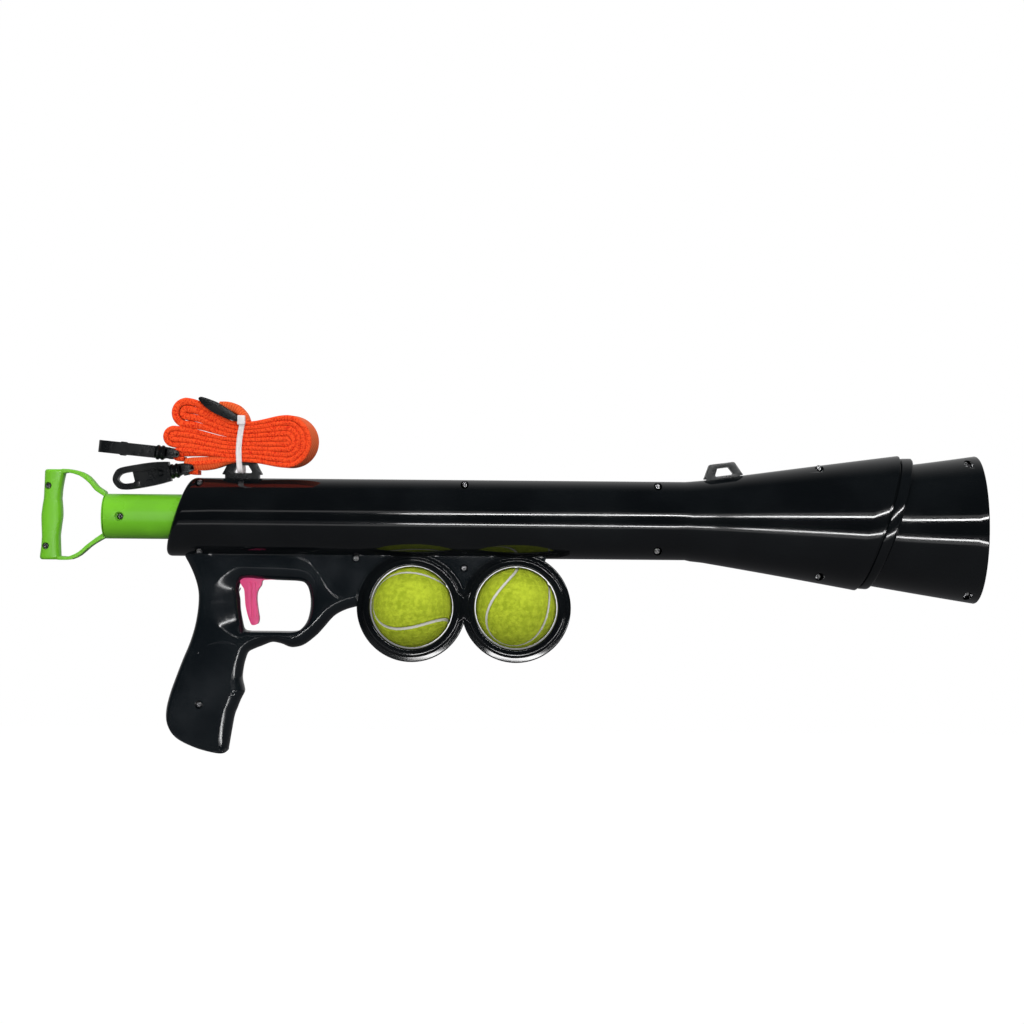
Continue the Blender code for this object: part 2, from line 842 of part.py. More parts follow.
def make_muzzle(name, side):
    fit = flare_wall + gap
    rear_share = flare_share(gap - spigot_length)
    lip_share = flare_share(lip_length - spigot_length)
    collar_share = flare_share(collar_length)

    def spigot_ring(share, inset):
        x, drop, radius, lean = bore_flare_ring(share)
        return (x, drop, radius - gap - inset, lean)

    rear = spigot_ring(rear_share, 0)
    lip_end = spigot_ring(lip_share, 0)
    collar = flare_ring(collar_share, fit)
    band_x = muzzle_rim_x - muzzle_band_length
    outer = [
        (rear[0], rear[1], rear[2] + lip_height, rear[3]),
        (lip_end[0], lip_end[1], lip_end[2] + lip_height, lip_end[3]),
        lip_end,
        spigot_ring(1, 0),
        collar,
        (collar[0], cone_rear_drop, cone_rear_radius, collar[3]),
        (band_x, muzzle_rim_drop, muzzle_radius_at(band_x), 0),
        (muzzle_rim_x, muzzle_rim_drop, muzzle_rim_radius, 0),
    ]
    inner = [
        spigot_ring(flare_share(-spigot_length - overrun), muzzle_wall),
        (collar[0], cone_rear_drop, cone_rear_radius - muzzle_wall, collar[3]),
        (band_x, muzzle_rim_drop, muzzle_radius_at(band_x) - muzzle_wall, 0),
        (band_x, muzzle_rim_drop, muzzle_radius_at(band_x) - muzzle_band_wall, 0),
        (muzzle_rim_x, muzzle_rim_drop, muzzle_rim_radius - muzzle_band_wall, 0),
        (muzzle_rim_x + overrun, muzzle_rim_drop, muzzle_rim_radius - muzzle_band_wall, 0),
    ]
    muzzle = loft_rings(name, outer, barrel_facets, "black_abs")
    cut(muzzle, loft_rings(name + "_bore", inner, barrel_facets, None))
    cut_screw_holes(muzzle, muzzle_screw_places(), screw_seat_y, screw_reach_y)
    return keep_half(muzzle, side)


# Plunger: tube, cup, handle halves and their screws

def tube_screw_place():
    return (tube_rear_x + tube_hole_inset, axis_height)


def make_tube():
    inner = tube_radius - tube_wall
    profile = [
        (tube_radius, tube_rear_x), (tube_radius, tube_front_x), (inner, tube_front_x), (inner, tube_rear_x),
    ]
    centre = (0, 0, axis_height)
    tube = revolve("plunger_tube", profile, "X", centre, tube_facets, "green_abs", closed=True)
    slot_x = sear_pivot_x + sear_nose_length - sear_nose_width + draw_length
    low = (slot_x, -catch_slot_half_width, axis_height - tube_radius - overrun)
    high = (slot_x + catch_slot_length, catch_slot_half_width, axis_height - inner + tube_wall)
    cut(tube, box("catch_slot", low, high))
    x, z = tube_screw_place()
    hole = [(0, -overrun), (tube_hole_radius, -overrun), (tube_hole_radius, -tube_wall), (0, -tube_wall)]
    cut(tube, revolve("tube_hole", hole, "Y", (x, 0, z), screw_facets, None))
    return set_origin(tube, (tube_rear_x, 0, axis_height))


def make_cup():
    plug = tube_radius - tube_wall - gap
    rear_x = tube_front_x - cup_plug_length
    flange_x = tube_front_x + gap
    front_x = flange_x + cup_length
    profile = [
        (0, rear_x), (plug, rear_x), (plug, flange_x), (cup_radius, flange_x), (cup_radius, front_x),
        (cup_dish_radius, front_x), (cup_dish_radius * 0.6, front_x - cup_dish_depth * 0.8),
        (0, front_x - cup_dish_depth),
    ]
    cup = revolve("pusher_cup", profile, "X", (0, 0, axis_height), tube_facets, "white_acetal")
    return set_origin(cup, (flange_x, 0, axis_height))


def handle_screw_places():
    x = tube_rear_x - handle_length + handle_bar_inset
    return {
        "upper": (x, axis_height + handle_screw_height),
        "lower": (x - handle_length / 30, axis_height - handle_screw_height),
    }


def make_handle(name, side):
    origin = (tube_rear_x, axis_height)
    size = (-handle_length, handle_half_height)
    half = handle_half_thickness
    outer = smooth_outline(scaled(handle_outer_shares, origin, size), 2)
    handle = plate(name, outer, -half, half, handle_edge_rounding, "green_abs")
    centre = (0, 0, axis_height)
    inner = smooth_outline(scaled(handle_inner_shares, origin, size), 2)
    cut(handle, plate(name + "_opening", inner, -2 * overrun, 2 * overrun, 0, None))
    front_x = tube_rear_x - gap
    trim_x = front_x - handle_cap_length / 2
    trim_low = (trim_x, -overrun, axis_height - 2 * overrun)
    trim_high = (trim_x + overrun, overrun, axis_height + 2 * overrun)
    cut(handle, box(name + "_trim", trim_low, trim_high))
    plug = tube_radius - tube_wall - gap
    cap = front_x - handle_cap_length
    profile = [
        (0, cap), (tube_radius, cap), (tube_radius, front_x), (plug, front_x),
        (plug, front_x + handle_plug_length), (0, front_x + handle_plug_length),
    ]
    join(handle, revolve(name + "_plug", profile, "X", centre, tube_facets, None))
    cut_screw_holes(handle, handle_screw_places(), handle_seat_y, handle_reach_y)
    cut_screw_holes(handle, {"tube": tube_screw_place()}, screw_seat_y, screw_reach_y)
    return keep_half(handle, side)


# Guide bush and launch spring

def make_bush():
    inner = tube_radius + tube_clearance
    outer = barrel_bore_radius - gap
    seat = inner + 2 * spring_wire_radius + gap
    flange_x = bush_rear_x + bush_flange_length
    front_x = bush_rear_x + bush_length
    profile = [
        (inner, bush_rear_x), (outer, bush_rear_x), (outer, flange_x),
        (seat, flange_x), (seat, front_x), (inner, front_x),
    ]
    return revolve("guide_bush", profile, "X", (0, 0, axis_height), tube_facets, "white_acetal", closed=True)


def make_launch_spring():
    start = bush_rear_x + bush_length + gap
    length = tube_front_x - gap - start
    radius = (tube_radius + tube_clearance) / math.cos(math.pi / spring_turn_points) + spring_wire_radius
    spring = helix(
        "launch_spring", start, length, radius, spring_wire_radius,
        spring_turns, spring_turn_points, spring_sides, "steel",
    )
    spring.location = (0, 0, axis_height)
    return spring


# Trigger and sear

def make_trigger():
    pivot = (trigger_pivot_x, trigger_pivot_z)
    outline = scaled(trigger_shares, pivot, (trigger_depth, trigger_length))
    half = trigger_half_thickness
    trigger = plate("trigger", outline, -half, half, trigger_edge_rounding, "pink_abs", 1)
    hole = pin_profile(pin_radius + gap, overrun)
    cut(trigger, revolve("trigger_bore", hole, "Y", (pivot[0], 0, pivot[1]), pin_facets, None))
    return set_origin(trigger, (pivot[0], 0, pivot[1]))


def make_sear():
    x = sear_pivot_x
    z = sear_height()
    half = sear_thickness / 2
    nose_top = axis_height - tube_radius - gap
    nose_x = x + sear_nose_length
    outline = [
        (x - sear_tail_length, z - half), (x + sear_front_length, z - half), (x + sear_front_length, z + half),
        (nose_x, z + half), (nose_x, nose_top), (nose_x - sear_nose_width, nose_top),
        (nose_x - sear_nose_width * 1.3, z + half), (x - sear_tail_length, z + half),
    ]
    y = trigger_half_thickness
    sear = plate("sear_lever", outline, -y, y, 0, "steel")
    hole = pin_profile(sear_pin_radius + gap, overrun)
    cut(sear, revolve("sear_bore", hole, "Y", (x, 0, z), pin_facets, None))
    return set_origin(sear, (x, 0, z))


def make_pins():
    made = []
    for name, x, z, reach, radius in pin_places():
        profile = pin_profile(radius, reach)
        made.append(revolve(name, profile, "Y", (x, 0, z), pin_facets, "steel"))
    return made


def make_small_springs():
    lever_low = sear_height() - sear_thickness / 2
    length = sear_spring_length + lever_low - (axis_height - barrel_bore_radius) - 2 * gap
    sear_spring = helix(
        "sear_spring", 0, length, small_spring_radius, small_spring_wire,
        small_spring_turns, small_spring_points, spring_sides, "steel",
    )
    sear_spring.rotation_euler = (0, -math.pi / 2, 0)
    floor = axis_height - barrel_bore_radius - sear_spring_length + gap
    sear_spring.location = (sear_pivot_x + sear_front_length - small_spring_radius * 1.4, 0, floor)
    back = trigger_pivot_x - trigger_depth * 1.72 + gap
    trigger_rear = trigger_pivot_x - trigger_depth * 0.90
    trigger_spring = helix(
        "trigger_spring", back, trigger_rear - back - gap, small_spring_radius, small_spring_wire,
        small_spring_turns, small_spring_points, spring_sides, "steel",
    )
    trigger_spring.location = (0, 0, trigger_pivot_z - trigger_spring_drop)
    return [sear_spring, trigger_spring]


# Spare balls

def make_ball(name, x, z):
    profile = [(0, -ball_radius)]
    for band in range(1, ball_bands):
        turn = math.pi * band / ball_bands
        profile.append((ball_radius * math.sin(turn), -ball_radius * math.cos(turn)))
    profile.append((0, ball_radius))
    ball = revolve(name, profile, "Y", (x, 0, z), ball_facets, "ball_felt")
    return set_origin(ball, (x, 0, z))


# Strap loops

def make_loop(name, x, z, length, angle):
    foot = tilted(loop_foot(length, 0, loop_foot_depth), (x, z), angle)
    size = (length / 2, loop_height)
    outer = tilted(scaled(loop_outer_shares, (0, gap), size), (x, z), angle)
    inner = tilted(scaled(loop_inner_shares, (0, gap), size), (x, z), angle)
    y = loop_half_thickness
    left, right = foot[:2]
    base = tilted([(-length * 0.42, gap), (length * 0.42, gap)], (x, z), angle)
    outline = [left, right, base[1]] + list(reversed(outer)) + [base[0]]
    loop = plate(name, outline, -y, y, 0, "black_nylon")
    cut(loop, plate(name + "_hole", inner, -overrun, overrun, 0, None))
    return loop


# Strap hank: ten runs stacked at the waist, joined by arcs at both sides

def waist_height(run):
    rest = axis_height + barrel_radius + gap + loop_height + waist_rest_gap + strap_thickness / 2
    return rest + (strap_runs - run) * waist_pitch


def middle_run():
    return (1 + strap_runs) / 2


def ease(share):
    return share * share * (3 - 2 * share)


def lobe_of(run):
    # the left lobe that a run turns in: its X, Z, pitch and middle run
    waist = waist_height(middle_run())
    if run <= 4:
        return (upper_lobe_x, waist + upper_lobe_rise, upper_lobe_pitch, 2.5)
    return (lower_lobe_x, waist + lower_lobe_rise, lower_lobe_pitch, 6.5)


def run_point(run, end, share):
    # a run is straight under the tie and then eases over to its end
    start_x = waist_x + math.copysign(waist_half_length, end[0] - waist_x)
    height = waist_height(run)
    return (start_x + (end[0] - start_x) * share, height + (end[1] - height) * ease(share))


def right_side_points(run):
    centre_z = waist_height(middle_run()) + right_lobe_rise
    end = (right_lobe_x, centre_z + (middle_run() - run) * right_lobe_pitch)
    return [run_point(run, end, index / run_points) for index in range(run_points + 1)]


def hook_places():
    # name: X, Z of the bar that each hook's eye holds the strap with
    waist = waist_height(middle_run())
    return {
        "upper": (waist_x - upper_hook_reach, waist - upper_hook_drop),
        "lower": (waist_x - lower_hook_reach, waist - lower_hook_drop),
    }


def left_end(run):
    if run >= strap_runs - 1:
        x, z = hook_places()["lower" if run == strap_runs else "upper"]
        return (x, z + curl_radius)
    lobe_x, lobe_z, pitch, middle = lobe_of(run)
    return (lobe_x, lobe_z + (middle - run) * pitch)


def left_side_points(run):
    return [run_point(run, left_end(run), index / run_points) for index in range(run_points + 1)]


def curl_points(centre_x, centre_z):
    # the strap's end goes over a bar, down behind it and back under it
    points = arc_points((centre_x, centre_z), curl_radius, math.pi / 2, math.pi * 1.5, lobe_arc_points)
    points.append((centre_x + curl_tail_length, centre_z - curl_radius))
    return points[1:]


def strap_path():
    order = [10, 1, 4, 7, 6, 5, 8, 3, 2, 9]
    centre_z = waist_height(middle_run()) + right_lobe_rise
    path = list(reversed(curl_points(*hook_places()["lower"])))
    for index in range(0, len(order), 2):
        outward = order[index]
        back = order[index + 1]
        path += list(reversed(left_side_points(outward)))
        path += right_side_points(outward)
        radius = abs(middle_run() - outward) * right_lobe_pitch
        start = -math.pi / 2 if outward > middle_run() else math.pi / 2
        turn = arc_points((right_lobe_x, centre_z), radius, start, -start, lobe_arc_points)
        path += turn[1:-1]
        path += list(reversed(right_side_points(back)))
        path += left_side_points(back)
        if back != strap_runs - 1:
            after = order[index + 2]
            lobe_x, lobe_z, pitch, middle = lobe_of(back)
            radius = abs(middle - back) * pitch
            above = back < middle
            start = math.pi / 2 if above else math.pi * 1.5
            turn = arc_points((lobe_x, lobe_z), radius, start, 2 * math.pi - start, lobe_arc_points)
            path += turn[1:-1]
    path += curl_points(*hook_places()["upper"])
    return path


def least_gap(path):
    # the smallest space between stretches of strap that aren't neighbours along it
    lengths = [0]
    for before, after in zip(path, path[1:]):
        lengths.append(lengths[-1] + math.dist(before, after))
    least = None
    for first, start in enumerate(path):
        for second in range(first + 1, len(path) - 1):
            if lengths[second] - lengths[first] < math.pi * strap_thickness:
                continue
            low = Vector(path[second])
            step = Vector(path[second + 1]) - low
            along = max(0, min(1, (Vector(start) - low).dot(step) / step.length_squared))
            distance = (Vector(start) - (low + step * along)).length - strap_thickness
            if least is None or distance < least:
                least = distance
    return least, lengths[-1]


def make_strap():
    path = strap_path()
    least, length = least_gap(path)
    print("strap length", round(length, 4), "m, least gap to itself", round(least, 6), "m")
    return ribbon("strap_hank", path, strap_half_width, strap_thickness, "orange_webbing")


# Tie and slider

def make_tie():
    inner_y = strap_half_width + tie_side_gap
    top = waist_height(1) + strap_thickness / 2 + gap
    low = waist_height(strap_runs) - strap_thickness / 2 - loop_height * tie_drop_share
    wall = tie_thickness
    inner = rounded_rectangle((-inner_y, low), (inner_y, top), tie_corner_radius, 3)
    outer = rounded_rectangle(
        (-inner_y - wall, low - wall), (inner_y + wall, top + wall), tie_corner_radius + wall, 3
    )
    tie = plate("zip_tie", outer, -tie_width / 2, tie_width / 2, 0, "clear_nylon")
    cut(tie, plate("tie_inside", inner, -overrun, overrun, 0, None))
    head_low = (-tie_head_width / 2, -tie_width / 2 - tie_head_length / 2, top + wall / 2)
    head_high = (tie_head_width / 2, -tie_width / 2 + tie_head_length / 2, top + wall / 2 + tie_head_height)
    join(tie, box("tie_head", head_low, head_high))
    tie.rotation_euler = (0, 0, math.pi / 2)
    tie.location = (waist_x, 0, 0)
    return tie


def make_slider():
    half = slider_half_width
    long = slider_length / 2
    corner = slider_bar
    outline = rounded_rectangle((-long, -half), (long, half), corner, 3)
    thick = slider_thickness / 2
    slider = plate("slider_buckle", outline, -thick, thick, slider_thickness / 5, "black_nylon", 1)
    width = strap_half_width + gap
    for side in (-1, 1):
        near = side * slider_bar / 2
        far = side * (long - slider_bar)
        low = (min(near, far), -overrun, -width)
        high = (max(near, far), overrun, width)
        cut(slider, box("slider_slot_" + str(side), low, high))
    end = left_end(1)
    start_x = waist_x - waist_half_length
    share = (start_x - slider_touch_x) / (start_x - end[0])
    here = Vector(run_point(1, end, share))
    ahead = Vector(run_point(1, end, share * 1.01))
    heading = (here - ahead).normalized()
    upward = Vector((-heading.y, heading.x))
    lift = strap_thickness / 2 + gap + thick
    middle = here + upward * lift + heading * (long - slider_overhang)
    slope = math.atan2(heading.y, heading.x)
    lay = Matrix.Rotation(-slope, 4, "Y") @ Matrix.Rotation(math.pi / 2, 4, "X")
    slider.matrix_world = Matrix.Translation((middle.x, 0, middle.y)) @ lay
    return slider


# Hooks: a split ring on a swivel whose eye holds the strap's end

def hook_base_x():
    return -eye_length - swivel_length - gap


def hook_matrix(x, z, angle, roll):
    # the hook's line runs along -X from its eye bar, raised by the angle
    turn = Matrix.Rotation(angle, 4, "Y") @ Matrix.Rotation(roll, 4, "X")
    return Matrix.Translation((x, 0, z)) @ turn


def make_hook(name, matrix):
    half = hook_height / 2
    base = hook_base_x()
    outer = rounded_rectangle((-hook_total_length, -half), (base, half), half * 0.9, 6)
    inner_low = (-hook_total_length + hook_arm, -half + hook_arm)
    inner_high = (base - hook_base_length, half - hook_arm)
    inner = rounded_rectangle(inner_low, inner_high, (half - hook_arm) / 2, 4)
    y = hook_half_thickness
    hook = plate(name, outer, -y, y, hook_arm / 4, "black_nylon", 1)
    cut(hook, plate(name + "_inside", inner, -overrun, overrun, 0, None))
    mouth_x = -hook_total_length + hook_height * 0.9
    low = (mouth_x, -overrun, -half - gap)
    high = (mouth_x + hook_mouth_width, overrun, -half + hook_arm + gap)
    cut(hook, box(name + "_mouth", low, high))
    hole = swivel_stem_radius + gap
    inner_x = base - hook_base_length - hook_arm / 2
    profile = [(0, inner_x), (hole, inner_x), (hole, base + gap), (0, base + gap)]
    cut(hook, revolve(name + "_bore", profile, "X", (0, 0, 0), pin_facets, None))
    hook.matrix_world = matrix
    return hook


def make_swivel(name, matrix):
    base = hook_base_x()
    inner = base - hook_base_length - gap
    barrel = base + gap
    step = swivel_length / 5
    profile = [
        (0, inner - swivel_head_length), (swivel_head_radius, inner - swivel_head_length),
        (swivel_head_radius, inner), (swivel_stem_radius, inner), (swivel_stem_radius, barrel),
        (swivel_radius, barrel), (swivel_radius, barrel + step), (swivel_radius * 0.84, barrel + 2 * step),
        (swivel_radius, barrel + 3 * step), (swivel_radius * 0.55, -eye_length), (0, -eye_length),
    ]
    swivel = revolve(name, profile, "X", (0, 0, 0), pin_facets, "black_nylon")
    half = eye_half_width
    corner = eye_bar_radius
    back = -eye_length - eye_wall
    outer = rounded_rectangle((back, -half), (eye_bar_radius, half), corner, 2)
    y = eye_bar_radius
    eye = plate(name + "_eye", outer, -y, y, eye_bar_radius / 2, None, 1)
    inner_low = (-eye_length, -half + eye_wall)
    inner_high = (-eye_bar_radius, half - eye_wall)
    hole = rounded_rectangle(inner_low, inner_high, corner / 3, 1)
    cut(eye, plate(name + "_eye_hole", hole, -overrun, overrun, 0, None))
    eye.rotation_euler = (math.pi / 2, 0, 0)
    join(swivel, eye)
    swivel.matrix_world = matrix
    return swivel


# Assembly

def make_parts():
    clear_scene()
    make_shell("right_shell", -1)
    make_shell("left_shell", 1)
    make_muzzle("muzzle_right", -1)
    make_muzzle("muzzle_left", 1)
    for name, (x, z) in body_screw_places().items():
        make_screw("shell_screw_" + name, x, z, screw_seat_y, screw_reach_y)
    for name, (x, z) in muzzle_screw_places().items():
        make_screw("muzzle_screw_" + name, x, z, screw_seat_y, screw_reach_y)
    plunger = bpy.data.objects.new("plunger", None)
    bpy.context.collection.objects.link(plunger)
    plunger.location = (tube_rear_x, 0, axis_height)
    moving = [make_tube(), make_cup(), make_handle("handle_right", -1), make_handle("handle_left", 1)]
    for name, (x, z) in handle_screw_places().items():
        moving.append(make_screw("handle_screw_" + name, x, z, handle_seat_y, handle_reach_y))
    x, z = tube_screw_place()
    moving.append(make_screw("tube_screw", x, z, screw_seat_y, screw_reach_y))
    for piece in moving:
        piece.parent = plunger
        piece.matrix_parent_inverse = Matrix.Translation(-plunger.location)
    make_bush()
    make_launch_spring()
    make_trigger()
    make_sear()
    make_pins()
    make_small_springs()
    for name, (x, z) in zip(ring_names, ring_places()):
        make_ball("ball_" + name, x, z)
    for name, (x, z, length, angle) in loop_places().items():
        make_loop(name + "_strap_loop", x, z, length, angle)
    make_strap()
    make_tie()
    make_slider()
    rolls = {"upper": math.pi / 2, "lower": 0}
    angles = {"upper": -upper_hook_angle, "lower": -lower_hook_angle}
    for name, (x, z) in hook_places().items():
        make_hook(name + "_hook", hook_matrix(x, z, angles[name], rolls[name]))
        make_swivel(name + "_swivel", hook_matrix(x, z, angles[name], 0))


make_parts()
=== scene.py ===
# Looks of the ball thrower: shells, handle, trigger, balls, strap and hooks over the fixed frame
import math

import bmesh
import bpy
import numpy as np
from mathutils import Euler, Matrix, Vector, noise
from mathutils.geometry import delaunay_2d_cdt


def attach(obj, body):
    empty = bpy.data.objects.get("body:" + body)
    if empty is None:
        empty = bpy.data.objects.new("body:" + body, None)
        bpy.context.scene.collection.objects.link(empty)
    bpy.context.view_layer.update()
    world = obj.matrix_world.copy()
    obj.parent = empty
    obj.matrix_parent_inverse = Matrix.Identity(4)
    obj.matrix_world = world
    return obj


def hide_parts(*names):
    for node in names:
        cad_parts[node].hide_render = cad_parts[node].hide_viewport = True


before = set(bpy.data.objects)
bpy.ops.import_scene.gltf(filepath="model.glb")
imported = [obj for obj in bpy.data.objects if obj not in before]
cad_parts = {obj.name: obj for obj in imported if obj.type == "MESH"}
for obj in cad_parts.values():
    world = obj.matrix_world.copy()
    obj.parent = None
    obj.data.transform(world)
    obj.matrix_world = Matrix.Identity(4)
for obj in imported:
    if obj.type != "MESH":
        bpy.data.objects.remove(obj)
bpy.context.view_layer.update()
print("frame loaded")

# what every piece shares
common = {"axisZ": 0.1315, "partingGap": 0.0003, "smoothAngle": math.radians(38), "cutReach": 0.08, "cutRound": 40}


# shader maths

class Socket:
    def __init__(self, tree, output):
        self.tree = tree
        self.output = output

    def maths(self, operation, other=None, swapped=False):
        node = self.tree.nodes.new("ShaderNodeMath")
        node.operation = operation
        values = [other, self] if swapped else [self, other]
        for slot, value in zip(node.inputs, values):
            if isinstance(value, Socket):
                self.tree.links.new(value.output, slot)
            elif value is not None:
                slot.default_value = value
        return Socket(self.tree, node.outputs[0])

    def __add__(self, other):
        return self.maths("ADD", other)

    def __sub__(self, other):
        return self.maths("SUBTRACT", other)

    def __rsub__(self, other):
        return self.maths("SUBTRACT", other, True)

    def __mul__(self, other):
        return self.maths("MULTIPLY", other)

    __radd__ = __add__
    __rmul__ = __mul__


class Finish:
    # a material or world and the nodes that paint it
    def __init__(self, holder):
        holder.use_nodes = True
        self.holder = holder
        self.tree = holder.node_tree
        self.tree.nodes.clear()

    def node(self, kind, settings=None, values=None, output=0):
        made = self.tree.nodes.new(kind)
        for key, value in (settings or {}).items():
            setattr(made, key, value)
        for key, value in (values or {}).items():
            slot = made.inputs[key]
            if isinstance(value, Socket):
                self.tree.links.new(value.output, slot)
            else:
                slot.default_value = value
        return Socket(self.tree, made.outputs[output]) if made.outputs else None

    def place(self):
        return self.node("ShaderNodeTexCoord", output=3)

    def stretched(self, scale):
        return self.node("ShaderNodeMapping", {}, {"Vector": self.place(), "Scale": scale})

    def noise(self, vector, scale, detail=3.0, roughness=0.5):
        values = {"Vector": vector, "Scale": scale, "Detail": detail, "Roughness": roughness}
        return self.node("ShaderNodeTexNoise", {}, values)

    def between(self, value, low, high, start=0.0, end=1.0):
        values = {"Value": value, "From Min": low, "From Max": high, "To Min": start, "To Max": end}
        return self.node("ShaderNodeMapRange", {"interpolation_type": "SMOOTHSTEP"}, values)

    def mixed(self, factor, first, second):
        return self.node("ShaderNodeMix", {"data_type": "RGBA"}, {0: factor, 6: first, 7: second}, 2)

    def bump(self, height, strength, distance):
        return self.node("ShaderNodeBump", {}, {"Height": height, "Strength": strength, "Distance": distance})

    def finish(self, values):
        shader = self.node("ShaderNodeBsdfPrincipled", {}, values)
        self.node("ShaderNodeOutputMaterial", {}, {"Surface": shader})
        return self.holder


plasticFields = ("colour", "shade", "gloss", "glossSpread", "cloudScale", "grainScale", "grainDepth", "waveDepth")
plasticLooks = {
    "glossBlack": ((0.0026, 0.0034, 0.0042, 1), (0.0042, 0.0054, 0.0064, 1), 0.065, 0.045, 22.0, 900.0, 0.012, 0.10),
    "satinBlack": ((0.0042, 0.0052, 0.0060, 1), (0.0070, 0.0083, 0.0092, 1), 0.24, 0.10, 60.0, 1600.0, 0.10, 0.1),
    "limeGreen": ((0.168, 0.54, 0.020, 1), (0.145, 0.475, 0.016, 1), 0.24, 0.10, 30.0, 1300.0, 0.06, 0.12),
    "hotPink": ((0.72, 0.042, 0.20, 1), (0.62, 0.032, 0.165, 1), 0.28, 0.10, 50.0, 1300.0, 0.06, 0.1),
    "webBlack": ((0.0038, 0.0058, 0.0076, 1), (0.0068, 0.0096, 0.0120, 1), 0.11, 0.08, 30.0, 1100.0, 0.03, 0.12),
    "whiteAcetal": ((0.74, 0.74, 0.71, 1), (0.66, 0.66, 0.63, 1), 0.3, 0.10, 50.0, 1200.0, 0.05, 0.1),
}


def mouldedPlastic(name, row):
    look = dict(zip(plasticFields, row))
    paint = Finish(bpy.data.materials.new(name))
    cloud = paint.noise(paint.place(), look["cloudScale"], 4.0)
    fine = paint.noise(paint.place(), look["grainScale"], 2.0)
    height = fine * look["grainDepth"] + cloud * look["waveDepth"]
    return paint.finish({
        "Base Color": paint.mixed(paint.between(cloud, 0.35, 0.7), look["colour"], look["shade"]),
        "Roughness": paint.between(cloud, 0.3, 0.75, look["gloss"], look["gloss"] + look["glossSpread"]),
        "Normal": paint.bump(height, 0.35, 0.0006),
    })


steelLook = {
    "stretch": (40.0, 1200.0, 1200.0), "blotchScale": 180.0,
    "colour": (0.40, 0.40, 0.41, 1), "shade": (0.27, 0.27, 0.28, 1),
}


def plainSteel(name):
    look = steelLook
    paint = Finish(bpy.data.materials.new(name))
    streaks = paint.noise(paint.stretched(look["stretch"]), 2.0, 2.0)
    blotches = paint.noise(paint.place(), look["blotchScale"], 4.0)
    colour = paint.mixed(paint.between(blotches, 0.4, 0.7), look["colour"], look["shade"])
    return paint.finish({
        "Base Color": colour,
        "Metallic": 1.0,
        "Roughness": paint.between(streaks, 0.3, 0.7, 0.2, 0.38),
        "Normal": paint.bump(streaks, 0.2, 0.0002),
    })


tieLook = {
    "mistScale": 240.0, "toothScale": 260.0, "colour": (0.90, 0.86, 0.86, 1), "shade": (0.78, 0.74, 0.75, 1),
    "gloss": (0.24, 0.4), "solid": (0.80, 0.92),
}


def clearTie(name):
    look = tieLook
    paint = Finish(bpy.data.materials.new(name))
    mist = paint.noise(paint.place(), look["mistScale"], 3.0)
    wave = {"Vector": paint.place(), "Scale": look["toothScale"]}
    teeth = paint.node("ShaderNodeTexWave", {"bands_direction": "Z"}, wave)
    return paint.finish({
        "Base Color": paint.mixed(mist, look["colour"], look["shade"]),
        "Roughness": paint.between(mist, 0.3, 0.7, *look["gloss"]),
        "Alpha": paint.between(mist, 0.3, 0.8, *look["solid"]),
        "Normal": paint.bump(teeth, 0.25, 0.0003),
    })


feltLook = {
    "colour": (0.50, 0.60, 0.035, 1), "shade": (0.33, 0.42, 0.018, 1), "brighter": 1.22,
    # the darker felt colour beside the seam is painted shade from the seam's groove
    "seamGrooveShade": (0.30, 0.37, 0.02, 1), "rubber": ((0.58, 0.57, 0.50, 1), (0.74, 0.73, 0.68, 1)),
    "seamEdge": (0.00105, 0.0014), "shadeEdge": (0.0013, 0.0026), "fray": 0.0006,
    "roughScale": 700.0, "napScale": 950.0, "tuftScale": 260.0, "wearScale": 45.0,
}


def ballFelt(name):
    look = feltLook
    paint = Finish(bpy.data.materials.new(name))
    seamGap = paint.node("ShaderNodeAttribute", {"attribute_name": "seamGap"}, output=2)
    rough = paint.noise(paint.place(), look["roughScale"], 3.0, 0.6)
    edge = seamGap + (rough - 0.5) * look["fray"]
    onSeam, nearSeam = [paint.between(edge, *look[part], 1.0, 0.0) for part in ("seamEdge", "shadeEdge")]
    nap = paint.noise(paint.place(), look["napScale"], 6.0, 0.7)
    tufts = paint.noise(paint.place(), look["tuftScale"], 5.0, 0.6)
    wear = paint.noise(paint.place(), look["wearScale"], 3.0)
    mottled = paint.mixed(paint.between(tufts, 0.36, 0.66), look["shade"], look["colour"])
    bright = tuple(min(1.0, c * look["brighter"]) for c in look["colour"][:3]) + (1,)
    faded = paint.mixed(paint.between(wear, 0.45, 0.75, 0.0, 0.5), mottled, bright)
    # painted shade: the felt in a band beside the sunk seam is darkened
    shaded = paint.mixed(nearSeam * 0.45, faded, look["seamGrooveShade"])
    rubber = paint.mixed(rough, *look["rubber"])
    height = (nap * 0.45 + tufts * 0.9) * (1 - onSeam * 0.85)
    return paint.finish({
        "Base Color": paint.mixed(onSeam, shaded, rubber),
        "Roughness": 0.95,
        "Specular IOR Level": 0.15,
        "Sheen Weight": 0.35,
        "Sheen Roughness": 0.4,
        "Sheen Tint": bright,
        "Normal": paint.bump(height, 0.95, 0.0016),
    })


strapLook = {
    # each pair runs from the sunk threads' colour to the raised threads': the thread's own tone with painted shade in
    # the weave's hollows
    "side": ((0.68, 0.016, 0.002, 1), (0.96, 0.085, 0.016, 1)),
    "face": ((0.64, 0.080, 0.016, 1), (0.80, 0.155, 0.042, 1)),
    "lit": (0.92, 0.095, 0.02, 1), "sheen": (1.0, 0.42, 0.2, 1),
    # waves per metre, in radians, along and across the band
    "slant": 3400.0, "cross": 1700.0, "across": 1300.0, "stitch": 2600.0,
}


